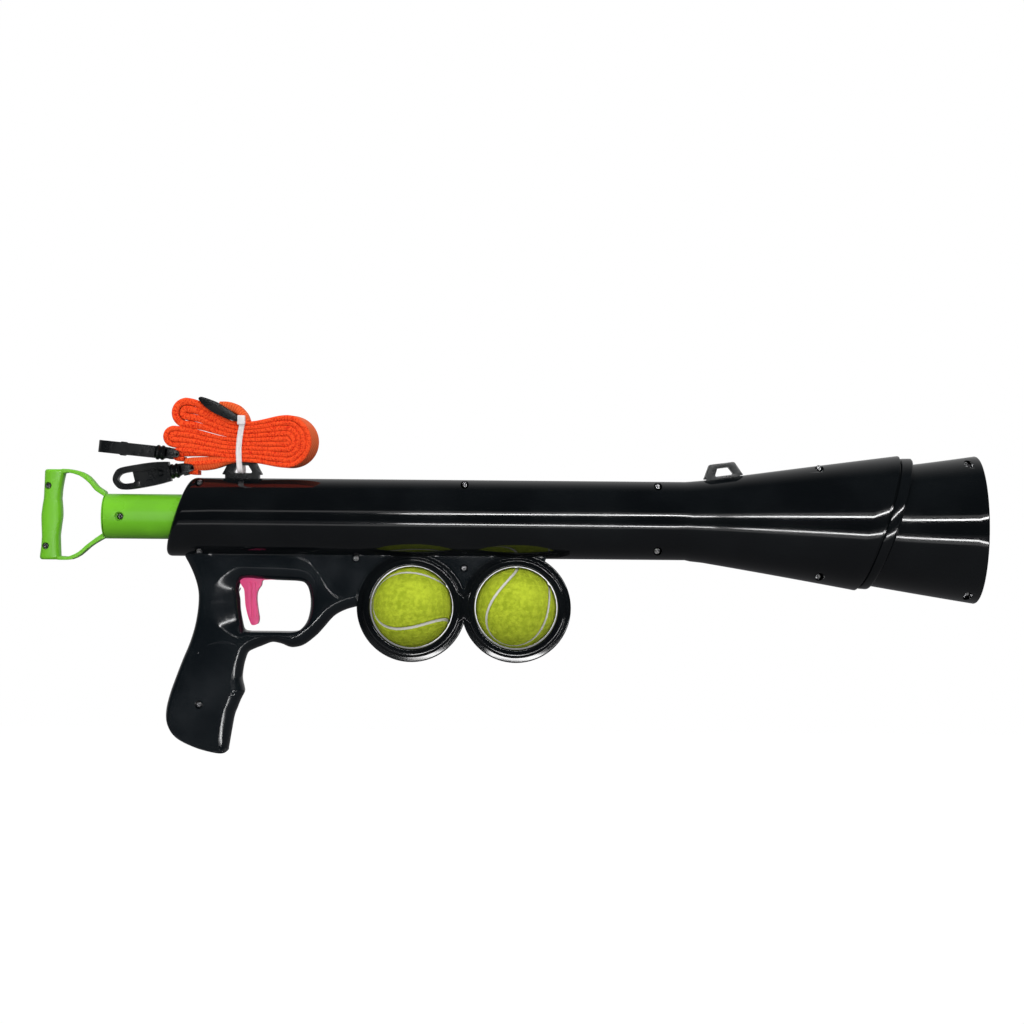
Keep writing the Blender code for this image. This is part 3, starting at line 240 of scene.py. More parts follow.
def wovenStrap(name):
    # rows of ribs slant across the face, over faint cross threads
    look = strapLook
    paint = Finish(bpy.data.materials.new(name))
    along = paint.node("ShaderNodeAttribute", {"attribute_name": "strapPlace"}, output=1)
    length, width, edge = [paint.node("ShaderNodeSeparateXYZ", {}, {0: along}, part) for part in range(3)]
    slant = (length * look["slant"] + width * look["across"]).maths("SINE")
    cross = (length * look["cross"] - width * look["across"]).maths("SINE")
    grain = paint.place()
    stitch = (length * look["stitch"] + paint.noise(grain, 330.0, 1.0) * 16.0).maths("SINE")
    zigzag = (length * look["cross"] - paint.noise(grain, 470.0, 1.0) * 22.0).maths("SINE")
    faceWeave = slant * 0.8 + cross * 0.2
    edgeWeave = stitch.maths("MAXIMUM", zigzag)
    weave = faceWeave * (1.0 - edge) + edgeWeave * edge
    fuzz = paint.noise(paint.place(), 1500.0, 4.0, 0.7)
    broad = paint.noise(paint.place(), 90.0, 2.0)
    # the weave's height picks the colour, so its hollows are darker: painted shade over the thread's own tone
    raised = paint.between(weave + fuzz * 0.6, -0.5, 1.2)
    side = paint.mixed(raised, *look["side"])
    face = paint.mixed(raised, *look["face"])
    colour = paint.mixed(edge, face, side)
    lit = paint.mixed(paint.between(broad, 0.4, 0.7, 0.0, 0.25), colour, look["lit"])
    return paint.finish({
        "Base Color": lit,
        "Roughness": 0.78,
        "Sheen Weight": 0.02,
        "Sheen Tint": look["sheen"],
        "Specular IOR Level": 0.12,
        "Normal": paint.bump(weave * 0.6 + fuzz * 0.35, 0.6, 0.0005),
    })


finishes = {name: mouldedPlastic(name, row) for name, row in plasticLooks.items()}
for make in (plainSteel, clearTie, ballFelt, wovenStrap):
    finishes[make.__name__] = make(make.__name__)
print("finishes mixed")


# mesh tools

def link(name, mesh, finish, smooth=None):
    bmesh.ops.recalc_face_normals(mesh, faces=mesh.faces[:])
    data = bpy.data.meshes.new(name)
    mesh.to_mesh(data)
    mesh.free()
    data.shade_smooth()
    data.set_sharp_from_angle(angle=smooth or common["smoothAngle"])
    made = bpy.data.objects.new(name, data)
    bpy.context.collection.objects.link(made)
    if finish:
        data.materials.append(finishes[finish])
    return made


def belong(pieces, body, node):
    # the body that carries the pieces and the solid that they stand for
    for piece in pieces:
        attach(piece, body)
        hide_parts(node)
    return pieces


def sideNode(side, part):
    # the name of the right or the left one of a pair
    return part.format("right" if side < 0 else "left")


def settle(made):
    # the modifiers become plain geometry
    graph = bpy.context.evaluated_depsgraph_get()
    flat = bpy.data.meshes.new_from_object(made.evaluated_get(graph))
    old = made.data
    made.modifiers.clear()
    made.data = flat
    bpy.data.meshes.remove(old)
    flat.shade_smooth()
    flat.set_sharp_from_angle(angle=common["smoothAngle"])
    return made


def carve(target, cutters):
    for cutter in cutters:
        change = target.modifiers.new("carve", "BOOLEAN")
        change.operation = "DIFFERENCE"
        change.object = cutter
    settle(target)
    for cutter in cutters:
        shape = cutter.data
        bpy.data.objects.remove(cutter)
        bpy.data.meshes.remove(shape)
    return target


def soften(target, width, segments=3, angle=40.0):
    edge = target.modifiers.new("soften", "BEVEL")
    edge.width = width
    edge.segments = segments
    edge.limit_method = "ANGLE"
    edge.angle_limit = math.radians(angle)
    return settle(target)


def bridge(mesh, rings, loop=False):
    pairs = list(zip(rings, rings[1:]))
    if loop:
        pairs.append((rings[-1], rings[0]))
    for low, high in pairs:
        count = len(low)
        for index in range(count):
            after = (index + 1) % count
            corners = (low[index], low[after], high[after], high[index])
            if len(set(corners)) > 2:
                mesh.faces.new(corners)


def spun(name, profile, axis, centre, segments, finish, loop=False):
    # profile holds radius and distance along the axis, poles allowed at its ends
    order = {"X": (2, 0, 1), "Y": (0, 2, 1)}[axis]
    mesh = bmesh.new()
    rings = []
    for radius, along in profile:
        ring = []
        for index in range(segments):
            turn = 2 * math.pi * index / segments
            spot = (max(radius, 1e-6) * math.cos(turn), max(radius, 1e-6) * math.sin(turn), along)
            ring.append(mesh.verts.new(Vector([spot[part] for part in order]) + Vector(centre)))
        rings.append(ring)
    bridge(mesh, rings, loop)
    if not loop:
        mesh.faces.new(rings[0])
        mesh.faces.new(rings[-1])
    bmesh.ops.remove_doubles(mesh, verts=mesh.verts[:], dist=4e-6)
    return link(name, mesh, finish)


def halfShell(name, stations, side, segments, finish):
    # stations hold X, outer radius, lean, drop and inner radius, for one side of the parting plane
    mesh = bmesh.new()
    outer = []
    inner = []
    for x, radius, lean, drop, bore in stations:
        rows = ([], [])
        for index in range(segments + 1):
            turn = math.pi * (index / segments - 0.5)
            for row, reach in zip(rows, (radius, bore)):
                rise = reach * math.sin(turn)
                out = max(reach * math.cos(turn), common["partingGap"] / 2)
                row.append(mesh.verts.new((x + lean * rise, side * out, common["axisZ"] - drop + rise)))
        outer.append(rows[0])
        inner.append(rows[1])
    for rows in (outer, inner):
        for low, high in zip(rows, rows[1:]):
            for index in range(segments):
                mesh.faces.new((low[index], low[index + 1], high[index + 1], high[index]))
    for index in range(len(stations) - 1):
        for edge in (0, segments):
            mesh.faces.new((outer[index][edge], outer[index + 1][edge], inner[index + 1][edge], inner[index][edge]))
    for end in (0, -1):
        for index in range(segments):
            mesh.faces.new((outer[end][index], outer[end][index + 1], inner[end][index + 1], inner[end][index]))
    return link(name, mesh, finish)


def roundedCorner(start, corner, end, radius, steps):
    # points of an arc that rounds a corner of a profile
    first = (Vector(start) - Vector(corner)).normalized()
    second = (Vector(end) - Vector(corner)).normalized()
    angle = first.angle(second)
    reach = radius / math.tan(angle / 2)
    middle = Vector(corner) + (first + second).normalized() * (radius / math.sin(angle / 2))
    begin = Vector(corner) + first * reach - middle
    finish = Vector(corner) + second * reach - middle
    turn = begin.angle_signed(finish)
    points = []
    for index in range(steps + 1):
        angleNow = -turn * index / steps
        c, s = math.cos(angleNow), math.sin(angleNow)
        points.append((middle.x + begin.x * c - begin.y * s, middle.y + begin.x * s + begin.y * c))
    return points


def roundedProfile(points, radii, steps=4, loop=True):
    result = []
    count = len(points)
    for index, point in enumerate(points):
        radius = radii[index]
        if radius and (loop or 0 < index < count - 1):
            result += roundedCorner(points[index - 1], point, points[(index + 1) % count], radius, steps)
        else:
            result.append(tuple(point))
    return result


def flowing(points, steps, loop=True):
    # a smooth line through the points
    count = len(points)
    result = []
    for index in range(count if loop else count - 1):
        around = [index + shift for shift in (-1, 0, 1, 2)]
        around = [spot % count if loop else min(max(spot, 0), count - 1) for spot in around]
        before, start, end, after = [Vector(points[spot]) for spot in around]
        for step in range(steps):
            t = step / steps
            spot = (
                start * 2 + (end - before) * t
                + (before * 2 - start * 5 + end * 4 - after) * t * t
                + (start * 3 - before - end * 3 + after) * t * t * t
            ) / 2
            result.append(tuple(spot))
    if not loop:
        result.append(tuple(points[-1]))
    return result


def evenly(points, spacing, loop=True):
    # the same line with points at a near even spacing
    line = np.array(list(points) + ([points[0]] if loop else []), dtype=float)
    steps = np.linalg.norm(np.diff(line[:, :2], axis=0), axis=1)
    along = np.concatenate([[0], np.cumsum(steps)])
    count = max(2, int(round(along[-1] / spacing)))
    marks = np.linspace(0, along[-1], count + 1)
    if loop:
        marks = marks[:-1]
    return np.stack([np.interp(marks, along, line[:, k]) for k in range(line.shape[1])], axis=1)


def nearest(spots, line, loop=True):
    # distance from each spot to a line, and how far along the line its nearest point lies
    start = line
    end = np.roll(line, -1, axis=0)
    if not loop:
        start, end = line[:-1], line[1:]
    step = end - start
    best = np.full(len(spots), 1e9)
    where = np.zeros(len(spots))
    for index in range(len(start)):
        offset = spots - start[index]
        share = np.clip(offset @ step[index] / max(step[index] @ step[index], 1e-18), 0, 1)
        gap = np.linalg.norm(offset - share[:, None] * step[index], axis=1)
        closer = gap < best
        best[closer] = gap[closer]
        where[closer] = index + share[closer]
    return best, where


def inside(spots, line):
    # which spots lie inside a closed line
    x, z = spots[:, 0], spots[:, 1]
    hits = np.zeros(len(spots), dtype=bool)
    for (ax, az), (bx, bz) in zip(line, np.roll(line, -1, axis=0)):
        crosses = (az > z) != (bz > z)
        edge = ax + (z - az) * (bx - ax) / (bz - az if bz != az else 1e-18)
        hits ^= crosses & (x < edge)
    return hits


def boxBetween(name, low, high, finish=None):
    mesh = bmesh.new()
    bmesh.ops.create_cube(mesh, size=1.0)
    for vert in mesh.verts:
        vert.co = Vector([a + (b - a) * (share + 0.5) for a, b, share in zip(low, high, vert.co)])
    return link(name, mesh, finish)


def planned(outline, holes, others, closeness):
    # the points and faces of a flat plan with holes through it
    spots, border = [], []
    for line in [outline] + holes:
        start, count = len(spots), len(line)
        spots += [Vector(point) for point in line]
        border += [(start + index, start + (index + 1) % count) for index in range(count)]
    plan = delaunay_2d_cdt(spots + [Vector(point) for point in others], border, [], 0, closeness)
    places = np.array([tuple(point) for point in plan[0]])
    middles = np.array([places[list(face)].mean(axis=0) for face in plan[2]])
    keep = inside(middles, np.array(outline))
    for hole in holes:
        keep &= ~inside(middles, np.array(hole))
    return places, [face for face, good in zip(plan[2], keep) if good]


def sandwich(name, faces, near, far, finish, smooth=None):
    # the same faces on two sheets of points, with walls between their open edges
    mesh = bmesh.new()
    near, far = [[mesh.verts.new(point) for point in sheet] for sheet in (near, far)]
    used = set()
    for face in faces:
        mesh.faces.new([near[index] for index in face])
        mesh.faces.new([far[index] for index in reversed(face)])
        used |= set(zip(face, face[1:] + face[:1]))
    for first, second in used:
        if (second, first) not in used:
            mesh.faces.new((near[second], near[first], far[first], far[second]))
    loose = [vert for vert in mesh.verts if not vert.link_faces]
    bmesh.ops.delete(mesh, geom=loose, context="VERTS")
    return link(name, mesh, finish, smooth)


def plateBetween(name, outline, low, high, finish, holes=()):
    places, faces = planned(outline, list(holes), [], 1e-7)
    near, far = [[(x, y, z) for x, z in places] for y in (low, high)]
    return sandwich(name, faces, near, far, finish)


def eased(value, low, high):
    share = np.clip((value - low) / (high - low), 0, 1)
    return share * share * (3 - 2 * share)


# barrel and flare halves

barrel = {
    "rearX": -0.023, "rearRadius": 0.0297, "rearRounding": 0.005, "rearSteps": 7, "rearBore": 0.0173,
    "wallEndX": 0.006, "bore": 0.027, "frontX": 0.365, "flareRear": 0.0303, "flareEnd": 0.0512,
    "flareLength": 0.1412, "flareWall": 0.0028, "lean": math.tan(math.radians(17.4)), "softStart": 0.05,
    "endRounding": 0.0009, "segments": 84, "flareSteps": 14,
    "screws": [(-0.006, 0.1575), (-0.006, 0.1055), (0.194, 0.1575), (0.3396, 0.1575),
               (0.3396, 0.1086), (0.461, 0.1724), (0.461, 0.0906)],
    "recessRadius": 0.00305, "recessSeat": 0.008, "lastInset": 0.3,
}


def flareAt(share):
    soft = barrel["softStart"]
    rise = share * share / (2 * soft) if share < soft else share - soft / 2
    rise = rise / (1 - soft / 2)
    return barrel["flareRear"] + (barrel["flareEnd"] - barrel["flareRear"]) * rise


def barrelStations():
    b = barrel
    stations = []
    for index in range(b["rearSteps"] + 1):
        turn = math.pi / 2 * index / b["rearSteps"]
        x = b["rearX"] + b["rearRounding"] * (1 - math.sin(turn))
        radius = b["rearRadius"] - b["rearRounding"] * (1 - math.cos(turn))
        stations.insert(0, (x, radius, b["lean"], 0, b["rearBore"]))
    for x, lean, bore in (
        (b["wallEndX"], 0, b["rearBore"]), (b["wallEndX"], 0, b["bore"]), (b["wallEndX"] + 0.02, 0, b["bore"]),
        (b["frontX"] * 0.5, 0, b["bore"]), (b["frontX"] - 0.012, 0, b["bore"]),
        (b["frontX"] - 0.004, 0, b["bore"]),
    ):
        stations.append((x, b["rearRadius"], lean, 0, bore))
    end = 1 - b["endRounding"] / b["flareLength"]
    shares = [end * index / b["flareSteps"] for index in range(b["flareSteps"] + 1)]
    for share in shares + [1 - b["endRounding"] * b["lastInset"] / b["flareLength"], 1.0]:
        inset = 0
        if share > end + 1e-6:
            gone = (share - end) / (1 - end)
            inset = b["endRounding"] * (1 - math.sqrt(max(0, 1 - gone * gone)))
        wall = b["flareRear"] - b["bore"] + (b["flareWall"] - b["flareRear"] + b["bore"]) * share
        x, radius = b["frontX"] + b["flareLength"] * share, flareAt(share)
        stations.append((x, radius - inset, b["lean"] * share, common["partingGap"], radius - wall))
    return stations


def recessCutters(places, radius, seat, side):
    # a straight recess for each screw, from outside the shell down to its seat
    profile = [(radius, side * seat), (radius, side * common["cutReach"])]
    return [spun("recess", profile, "Y", (x, 0, z), common["cutRound"], None) for x, z in places]


def makeBarrel():
    made = []
    stations = barrelStations()
    for name, side in (("barrelRight", -1), ("barrelLeft", 1)):
        half = halfShell(name, stations, side, barrel["segments"], "glossBlack")
        if side < 0:
            carve(half, recessCutters(barrel["screws"], barrel["recessRadius"], barrel["recessSeat"], side))
        made += belong([half], "launcher", sideNode(side, "{}_shell"))
    return made


barrelHalves = makeBarrel()
print("barrel made")


# muzzle halves

muzzle = {
    "collarLength": 0.0095, "collarRadius": 0.0495, "coneRear": 0.0461, "coneDrop": 0.0019,
    "rimX": 0.581, "rimRadius": 0.05585, "rimDrop": 0.0049, "wall": 0.0024, "bandLength": 0.018,
    "bandWall": 0.0058, "rimRounding": 0.0012, "spigotLength": 0.016, "segments": 84, "coneSteps": 10,
    "screws": [(0.5715, 0.176), (0.5715, 0.0772)], "recessRadius": 0.00305, "recessSeat": 0.008,
    "coneLean": 1.06, "coneGap": 0.0009, "bandStep": 0.012, "rimTurns": (0.35, 0.7, 1.0), "innerRounding": 0.6,
}


def muzzleStations():
    m = muzzle
    b = barrel
    endX = b["frontX"] + b["flareLength"]
    # the spigot sits inside the flare
    inside = flareAt(1) - b["flareWall"] - common["partingGap"]
    lean = b["lean"]
    coneLean = lean * m["coneLean"]
    collarX = endX + m["collarLength"]
    stations = [
        (endX - m["spigotLength"], inside - 0.0026, lean * 0.89, 0.0003, inside - 0.0052),
        (endX - 0.0002, inside, lean, 0.0003, inside - m["wall"]),
        (endX + 0.0002, inside, lean, 0.0003, inside - m["wall"]),
        (endX + 0.0012, m["collarRadius"] - 0.0016, lean, 0.0006, inside - m["wall"]),
        (endX + 0.0020, m["collarRadius"] - 0.0003, lean, 0.0006, inside - m["wall"] - 0.0002),
        (endX + 0.0030, m["collarRadius"], lean * 1.03, 0.0007, inside - m["wall"] - 0.0006),
        (collarX - 0.0012, m["collarRadius"] + 0.0002, coneLean, 0.0008, m["coneRear"] - m["wall"]),
        (collarX - 0.0004, m["collarRadius"] - 0.0002, coneLean, 0.0010, m["coneRear"] - m["wall"]),
        (collarX, m["collarRadius"] - 0.0011, coneLean, 0.0014, m["coneRear"] - m["wall"]),
        (collarX + 0.0002, m["coneRear"] + 0.0006, coneLean, m["coneDrop"], m["coneRear"] - m["wall"]),
        (collarX + m["coneGap"], m["coneRear"], coneLean, m["coneDrop"], m["coneRear"] - m["wall"]),
    ]
    length = m["rimX"] - m["rimRounding"] - collarX - m["coneGap"]
    spread = m["rimRadius"] - m["coneRear"]
    bandShare = 1 - m["bandLength"] / (m["rimX"] - collarX)
    shares = [index / m["coneSteps"] for index in range(1, m["coneSteps"] + 1)] + [bandShare, bandShare + m["bandStep"]]
    for share in sorted(shares):
        wall = m["bandWall"] if share > bandShare else m["wall"]
        drop = m["coneDrop"] + (m["rimDrop"] - m["coneDrop"]) * share
        x = collarX + m["coneGap"] + length * share
        radius = m["coneRear"] + spread * share
        bore = m["rimRadius"] - m["bandWall"] if share > bandShare else radius - wall
        stations.append((x, radius, coneLean * (1 - share), drop, bore))
    for turn in m["rimTurns"]:
        angle = turn * math.pi / 2
        reach = m["rimRounding"]
        x = m["rimX"] - reach + reach * math.sin(angle)
        stations.append((
            x, m["rimRadius"] - reach * (1 - math.cos(angle)), 0, m["rimDrop"],
            m["rimRadius"] - m["bandWall"] + reach * m["innerRounding"] * (1 - math.cos(angle)),
        ))
    return stations


def makeMuzzle():
    for name, side in (("muzzleRight", -1), ("muzzleLeft", 1)):
        half = halfShell(name, muzzleStations(), side, muzzle["segments"], "glossBlack")
        if side < 0:
            carve(half, recessCutters(muzzle["screws"], muzzle["recessRadius"], muzzle["recessSeat"], side))
        belong([half], "launcher", sideNode(side, "muzzle_{}"))


makeMuzzle()
print("muzzle made")


# grip, guard and web as one moulded relief on each side

mm = 0.001
body = {
    "spacing": 1.1, "fill": 2.3, "faceWeb": 10.6, "faceGuard": 11.0, "faceGrip": 13.5, "top": 104.3,
    "ringReach": 35.0, "ringGroove": 41.75, "grooveFace": 9.4, "recessRadius": 3.05, "recessSeat": 8.0,
    "rings": [(154.5, 64.7), (233.5, 64.7)], "screws": [(112.3, 101.3), (194.0, 94.5), (-5.0, -10.0)],
    "lineWidth": 0.55, "lineDepth": 0.55, "crease": 0.82, "smoothAngle": 32,
    "edgeShares": (0.025, 0.08, 0.17, 0.3, 0.46, 0.64, 0.82, 0.98, 1.04),
    "lineShifts": (-1.5, -0.8, -0.4, 0.0, 0.4, 0.8, 1.5), "grooveShifts": (-0.1, 0.15, 0.35, 0.5, 0.7),
    "recessShifts": (0.0, 0.06, 0.6), "holeSpacing": 0.9, "lineSpacing": 0.8, "grooveRound": 220, "recessRound": 36,
    "sameSpot": 0.045, "leastSpace": 1.25, "leastHeight": 0.3, "grooveWidth": 0.9, "grooveDepth": 3.0,
    "plainEdge": (0.3, 0.03), "valley": (194.0, 76.8), "front": [(254.0, 97.0), (256.0, 103.0), (256.0, 104.3)],
    "topSpan": (250, -16, -6), "leastWidth": 2, "leastReach": 0.1, "clear": 0.96, "fillRows": 0.87,
    "panelCorners": [(260.0, 73.6), (260.0, 112.0), (2.0, 112.0)], "gripBlend": (22, 62), "panelBlend": 0.5,
}

# X, Z, width of the rounded edge and the share of the thickness that it takes
gripLine = [
    (-17.6, 104.3, 4.5, 0.55), (-16.8, 101.0, 4.5, 0.55), (-13.6, 95.0, 5, 0.6), (-9.9, 86.6, 5, 0.6),
    (-7.4, 78.0, 5, 0.6), (-6.7, 70.2, 5, 0.6), (-7.4, 60.0, 5, 0.6), (-9.6, 47.8, 5, 0.6),
    (-13.3, 35.6, 5, 0.6), (-18.3, 23.4, 5, 0.6), (-22.9, 11.2, 5, 0.6), (-27.2, -1.0, 5, 0.6),
    (-30.0, -12.1, 5, 0.6), (-30.4, -20.2, 5, 0.55), (-28.7, -26.8, 4, 0.4), (-24.8, -32.9, 3, 0.3),
    (-18.2, -37.9, 2.6, 0.25), (-6.0, -43.2, 2.6, 0.25), (5.7, -46.2, 2.6, 0.25), (12.1, -46.9, 2.8, 0.3),
    (15.3, -45.9, 4, 0.5), (16.4, -42.9, 8, 0.8), (18.5, -31.0, 9.8, 0.88), (20.7, -18.8, 9.8, 0.88),
    (22.9, -12.7, 9.8, 0.88), (25.3, -6.6, 10, 0.88), (28.2, -0.6, 10, 0.88), (28.0, 2.8, 10, 0.88),
    (26.5, 9.7, 9, 0.88), (27.2, 17.8, 8, 0.88), (28.6, 23.9, 7.4, 0.88), (30.9, 29.4, 7, 0.88),
    (36.2, 32.3, 7.4, 0.88), (41.5, 34.4, 7.4, 0.88), (46.8, 36.6, 6, 0.88), (50.6, 37.2, 5, 0.88),
    (56.7, 35.9, 5, 0.88), (62.0, 33.7, 6.6, 0.88), (66.5, 33.5, 8, 0.88), (73.4, 35.6, 8.6, 0.88),
    (82.4, 42.6, 8.8, 0.88), (88.5, 49.3, 8, 0.88), (95.4, 57.1, 7.4, 0.88), (103.6, 61.9, 7.4, 0.88),
    (113.0, 64.7, 7.6, 0.88), (118.4, 65.3, 7.6, 0.88),
]
guardHole = [
    (23.2, 77.3, 18, 0.97), (24.3, 69.5, 21, 0.97), (24.8, 61.7, 21, 0.97), (26.4, 52.8, 18, 0.97),
    (28.0, 47.0, 9, 0.9), (31.0, 45.2, 2.4, 0.2), (38.0, 45.0, 0.9, 0.1), (52.0, 45.0, 0.9, 0.1),
    (65.0, 45.1, 0.9, 0.1), (70.6, 47.0, 1.8, 0.25), (75.0, 52.6, 4.4, 0.7), (77.2, 60.0, 5.6, 0.8),
    (77.8, 67.7, 6, 0.85), (76.9, 75.5, 6.4, 0.85), (74.6, 80.9, 7.6, 0.85), (70.0, 83.4, 8.8, 0.85),
    (55.5, 84.1, 9.4, 0.85), (40.0, 84.7, 9, 0.85), (30.2, 85.3, 8.6, 0.9), (25.6, 83.7, 11, 0.95),
]
panelLine = [
    (2.0, 101.6), (30.0, 101.8), (60.0, 102.0), (69.0, 101.6), (75.4, 98.9), (79.6, 94.8), (83.3, 90.0),
    (87.2, 83.8), (91.2, 77.8), (95.0, 73.6), (99.1, 71.3), (103.6, 71.0), (109.0, 72.3), (116.0, 73.6),
]
gripArc = [(-5.4, 28.9), (-4.7, 31.0), (-2.6, 32.8), (3.5, 35.3), (8.5, 36.5), (13.5, 36.8), (19.1, 36.2), (23.4, 34.3)]
gripSlant = [
    (-5.4, 28.9), (-5.0, 26.6), (-0.8, 19.1), (4.8, 11.3), (11.6, 3.6), (16.7, -0.3), (20.6, -1.7), (27.0, -1.4),
]


def ringArc(centre, start, end, reach, count):
    turns = [math.radians(start + (end - start) * index / count) for index in range(count + 1)]
    return [(centre[0] + reach * math.cos(turn), centre[1] + reach * math.sin(turn)) for turn in turns]


def bodyOutline():
    rear, front = body["rings"]
    lower = evenly(flowing(gripLine, 5, False), body["spacing"], False)
    upper = ringArc(rear, 178, 22, body["ringReach"], 40) + [body["valley"]]
    upper += ringArc(front, 158, 56, body["ringReach"], 26)
    upper += body["front"] + [(x, body["top"]) for x in range(*body["topSpan"])]
    upper = [spot + body["plainEdge"] for spot in upper]
    return np.concatenate([lower, evenly(upper, body["spacing"], False)])


def edgeShape(share):
    # a rounded edge that still meets the face with a faint crease
    c = body["crease"]
    share = np.clip(share, 0, 1)
    return np.sqrt(1 - (1 - c * share) ** 2) / math.sqrt(1 - (1 - c) ** 2)


def along(table, where):
    count = len(table)
    low = np.floor(where).astype(int) % count
    share = where - np.floor(where)
    return table[low] * (1 - share) + table[(low + 1) % count] * share


def bodyHeight(spots, outline, hole, panel, screws):
    face = body["faceGuard"] + (body["faceGrip"] - body["faceGuard"]) * (1 - eased(spots[:, 1], *body["gripBlend"]))
    lineGap, _ = nearest(spots, np.array(panelLine), False)
    onPanel = inside(spots, panel)
    face = face - (body["faceGuard"] - body["faceWeb"]) * np.where(onPanel, eased(lineGap, 0, body["panelBlend"]), 0)
    height = face.copy()
    for line in (outline, hole):
        gap, where = nearest(spots, line[:, :2])
        width = along(line[:, 2], where)
        share = along(line[:, 3], where)
        height = np.minimum(height, face * (1 - share + share * edgeShape(gap / width)))
    for line in (gripArc, gripSlant):
        gap, _ = nearest(spots, np.array(flowing(line, 4, False)), False)
        height = height - body["lineDepth"] * np.exp(-((gap / body["lineWidth"]) ** 2))
    for centre in body["rings"]:
        reach = np.hypot(spots[:, 0] - centre[0], spots[:, 1] - centre[1])
        groove = eased(reach, body["ringGroove"], body["ringGroove"] + body["grooveWidth"])
        limit = body["grooveFace"] + body["grooveDepth"] * groove
        height = np.minimum(height, limit)
    for centre in screws:
        reach = np.hypot(spots[:, 0] - centre[0], spots[:, 1] - centre[1])
        height = np.where(reach < body["recessRadius"] + 0.01, body["recessSeat"], height)
    return height


def bodySpots(outline, hole):
    # edges first, then lines that follow them, then an even fill
    layers = []
    for line, inward in ((outline, 1), (hole, -1)):
        step = np.roll(line[:, :2], -1, axis=0) - np.roll(line[:, :2], 1, axis=0)
        normal = np.stack([-step[:, 1], step[:, 0]], axis=1)
        normal /= np.linalg.norm(normal, axis=1)[:, None]
        area = np.sum(line[:, 0] * np.roll(line[:, 1], -1) - np.roll(line[:, 0], -1) * line[:, 1])
        normal *= inward * np.sign(area)
        for share in body["edgeShares"]:
            reach = line[:, 2] * share
            keep = (line[:, 2] > body["leastWidth"]) & (reach > body["leastReach"])
            spots = line[keep, :2] + normal[keep] * reach[keep, None]
            gap, _ = nearest(spots, line[:, :2])
            layers.append(spots[gap > reach[keep] * body["clear"]])
    for path in (panelLine, gripArc, gripSlant):
        path = evenly(flowing(path, 4, False), body["lineSpacing"], False)
        step = np.gradient(path, axis=0)
        normal = np.stack([-step[:, 1], step[:, 0]], axis=1) / np.linalg.norm(step, axis=1)[:, None]
        for shift in body["lineShifts"]:
            layers.append(path + normal * shift)
    for centres, radius, shifts, count in (
        ("rings", "ringGroove", "grooveShifts", "grooveRound"),
        ("screws", "recessRadius", "recessShifts", "recessRound"),
    ):
        turns = np.linspace(0, 2 * math.pi, body[count], endpoint=False)
        unit = np.stack([np.cos(turns), np.sin(turns)], axis=1)
        for centre in body[centres]:
            layers += [np.array(centre) + (body[radius] + shift) * unit for shift in body[shifts]]
    firm = np.concatenate(layers)
    low, high = outline[:, :2].min(axis=0), outline[:, :2].max(axis=0)
    step = body["fill"]
    rows = []
    for row, z in enumerate(np.arange(low[1], high[1], step * body["fillRows"])):
        xs = np.arange(low[0] + (row % 2) * step / 2, high[0], step)
        rows.append(np.stack([xs, np.full(len(xs), z)], axis=1))
    return firm, np.concatenate(rows)


def thinned(spots, taken, space):
    # drops spots that crowd the ones already kept
    cells = {}
    kept = []
    for x, z in taken:
        cells.setdefault((int(x // space), int(z // space)), []).append((x, z))
    for x, z in spots:
        column, row = int(x // space), int(z // space)
        near = [p for i in (-1, 0, 1) for j in (-1, 0, 1) for p in cells.get((column + i, row + j), ())]
        if all((x - px) ** 2 + (z - pz) ** 2 > space * space for px, pz in near):
            kept.append((x, z))
            cells.setdefault((column, row), []).append((x, z))
    return np.array(kept)


def makeBody():
    outline = bodyOutline()
    hole = evenly(flowing(guardHole, 6), body["holeSpacing"])
    panel = np.array(panelLine + body["panelCorners"])
    firm, fill = bodySpots(outline, hole)
    edges = np.concatenate([outline[:, :2], hole[:, :2]])
    firm = firm[inside(firm, outline[:, :2]) & ~inside(firm, hole[:, :2])]
    fill = fill[inside(fill, outline[:, :2]) & ~inside(fill, hole[:, :2])]
    firm = thinned(firm, edges, body["sameSpot"])
    fill = thinned(fill, np.concatenate([edges, firm]), body["leastSpace"])
    others = np.concatenate([firm, fill])
    places, faces = planned(outline[:, :2], [hole[:, :2]], others, 1e-5)
    pieces = []
    for name, side in (("gripRight", -1), ("gripLeft", 1)):
        tall = bodyHeight(places, outline, hole, panel, body["screws"] if side < 0 else [])
        tall = side * np.maximum(tall, body["leastHeight"])
        near = [(x * mm, y * mm, z * mm) for (x, z), y in zip(places, tall)]
        back = [(x * mm, side * common["partingGap"] / 2, z * mm) for x, z in places]
        half = sandwich(name, faces, near, back, "webBlack", math.radians(body["smoothAngle"]))
        pieces += belong([half], "launcher", sideNode(side, "{}_shell"))
    return pieces


bodyHalves = makeBody()

# room for the sear lever inside the halves
searRoom = {"low": (0.0230, -0.0050, 0.0910), "high": (0.0650, 0.0050, 0.1150)}
for half in barrelHalves + bodyHalves:
    carve(half, [boxBetween("searRoom", searRoom["low"], searRoom["high"])])
print("grip and web made")


# rings that hold the spare balls

ringShape = {
    "hole": 0.0315, "band": 0.037, "outer": 0.0414, "half": 0.0125, "edge": 0.0096,
    "bandRounding": 0.0016, "holeRounding": 0.0010, "outerRounding": 0.0010, "segments": 144,
    "places": {"Rear": (0.1545, 0.0647), "Front": (0.2335, 0.0647)},
    "neckHeight": 0.0135, "neckInset": 0.0012, "neckRounding": 0.0009, "neckSteps": 12, "neckDip": 0.62,
    "neckInner": 0.002, "faceGap": 0.00002, "step": 0.0004, "cornerRadii": (0.0002, 0.0005), "cornerSteps": 5,
}


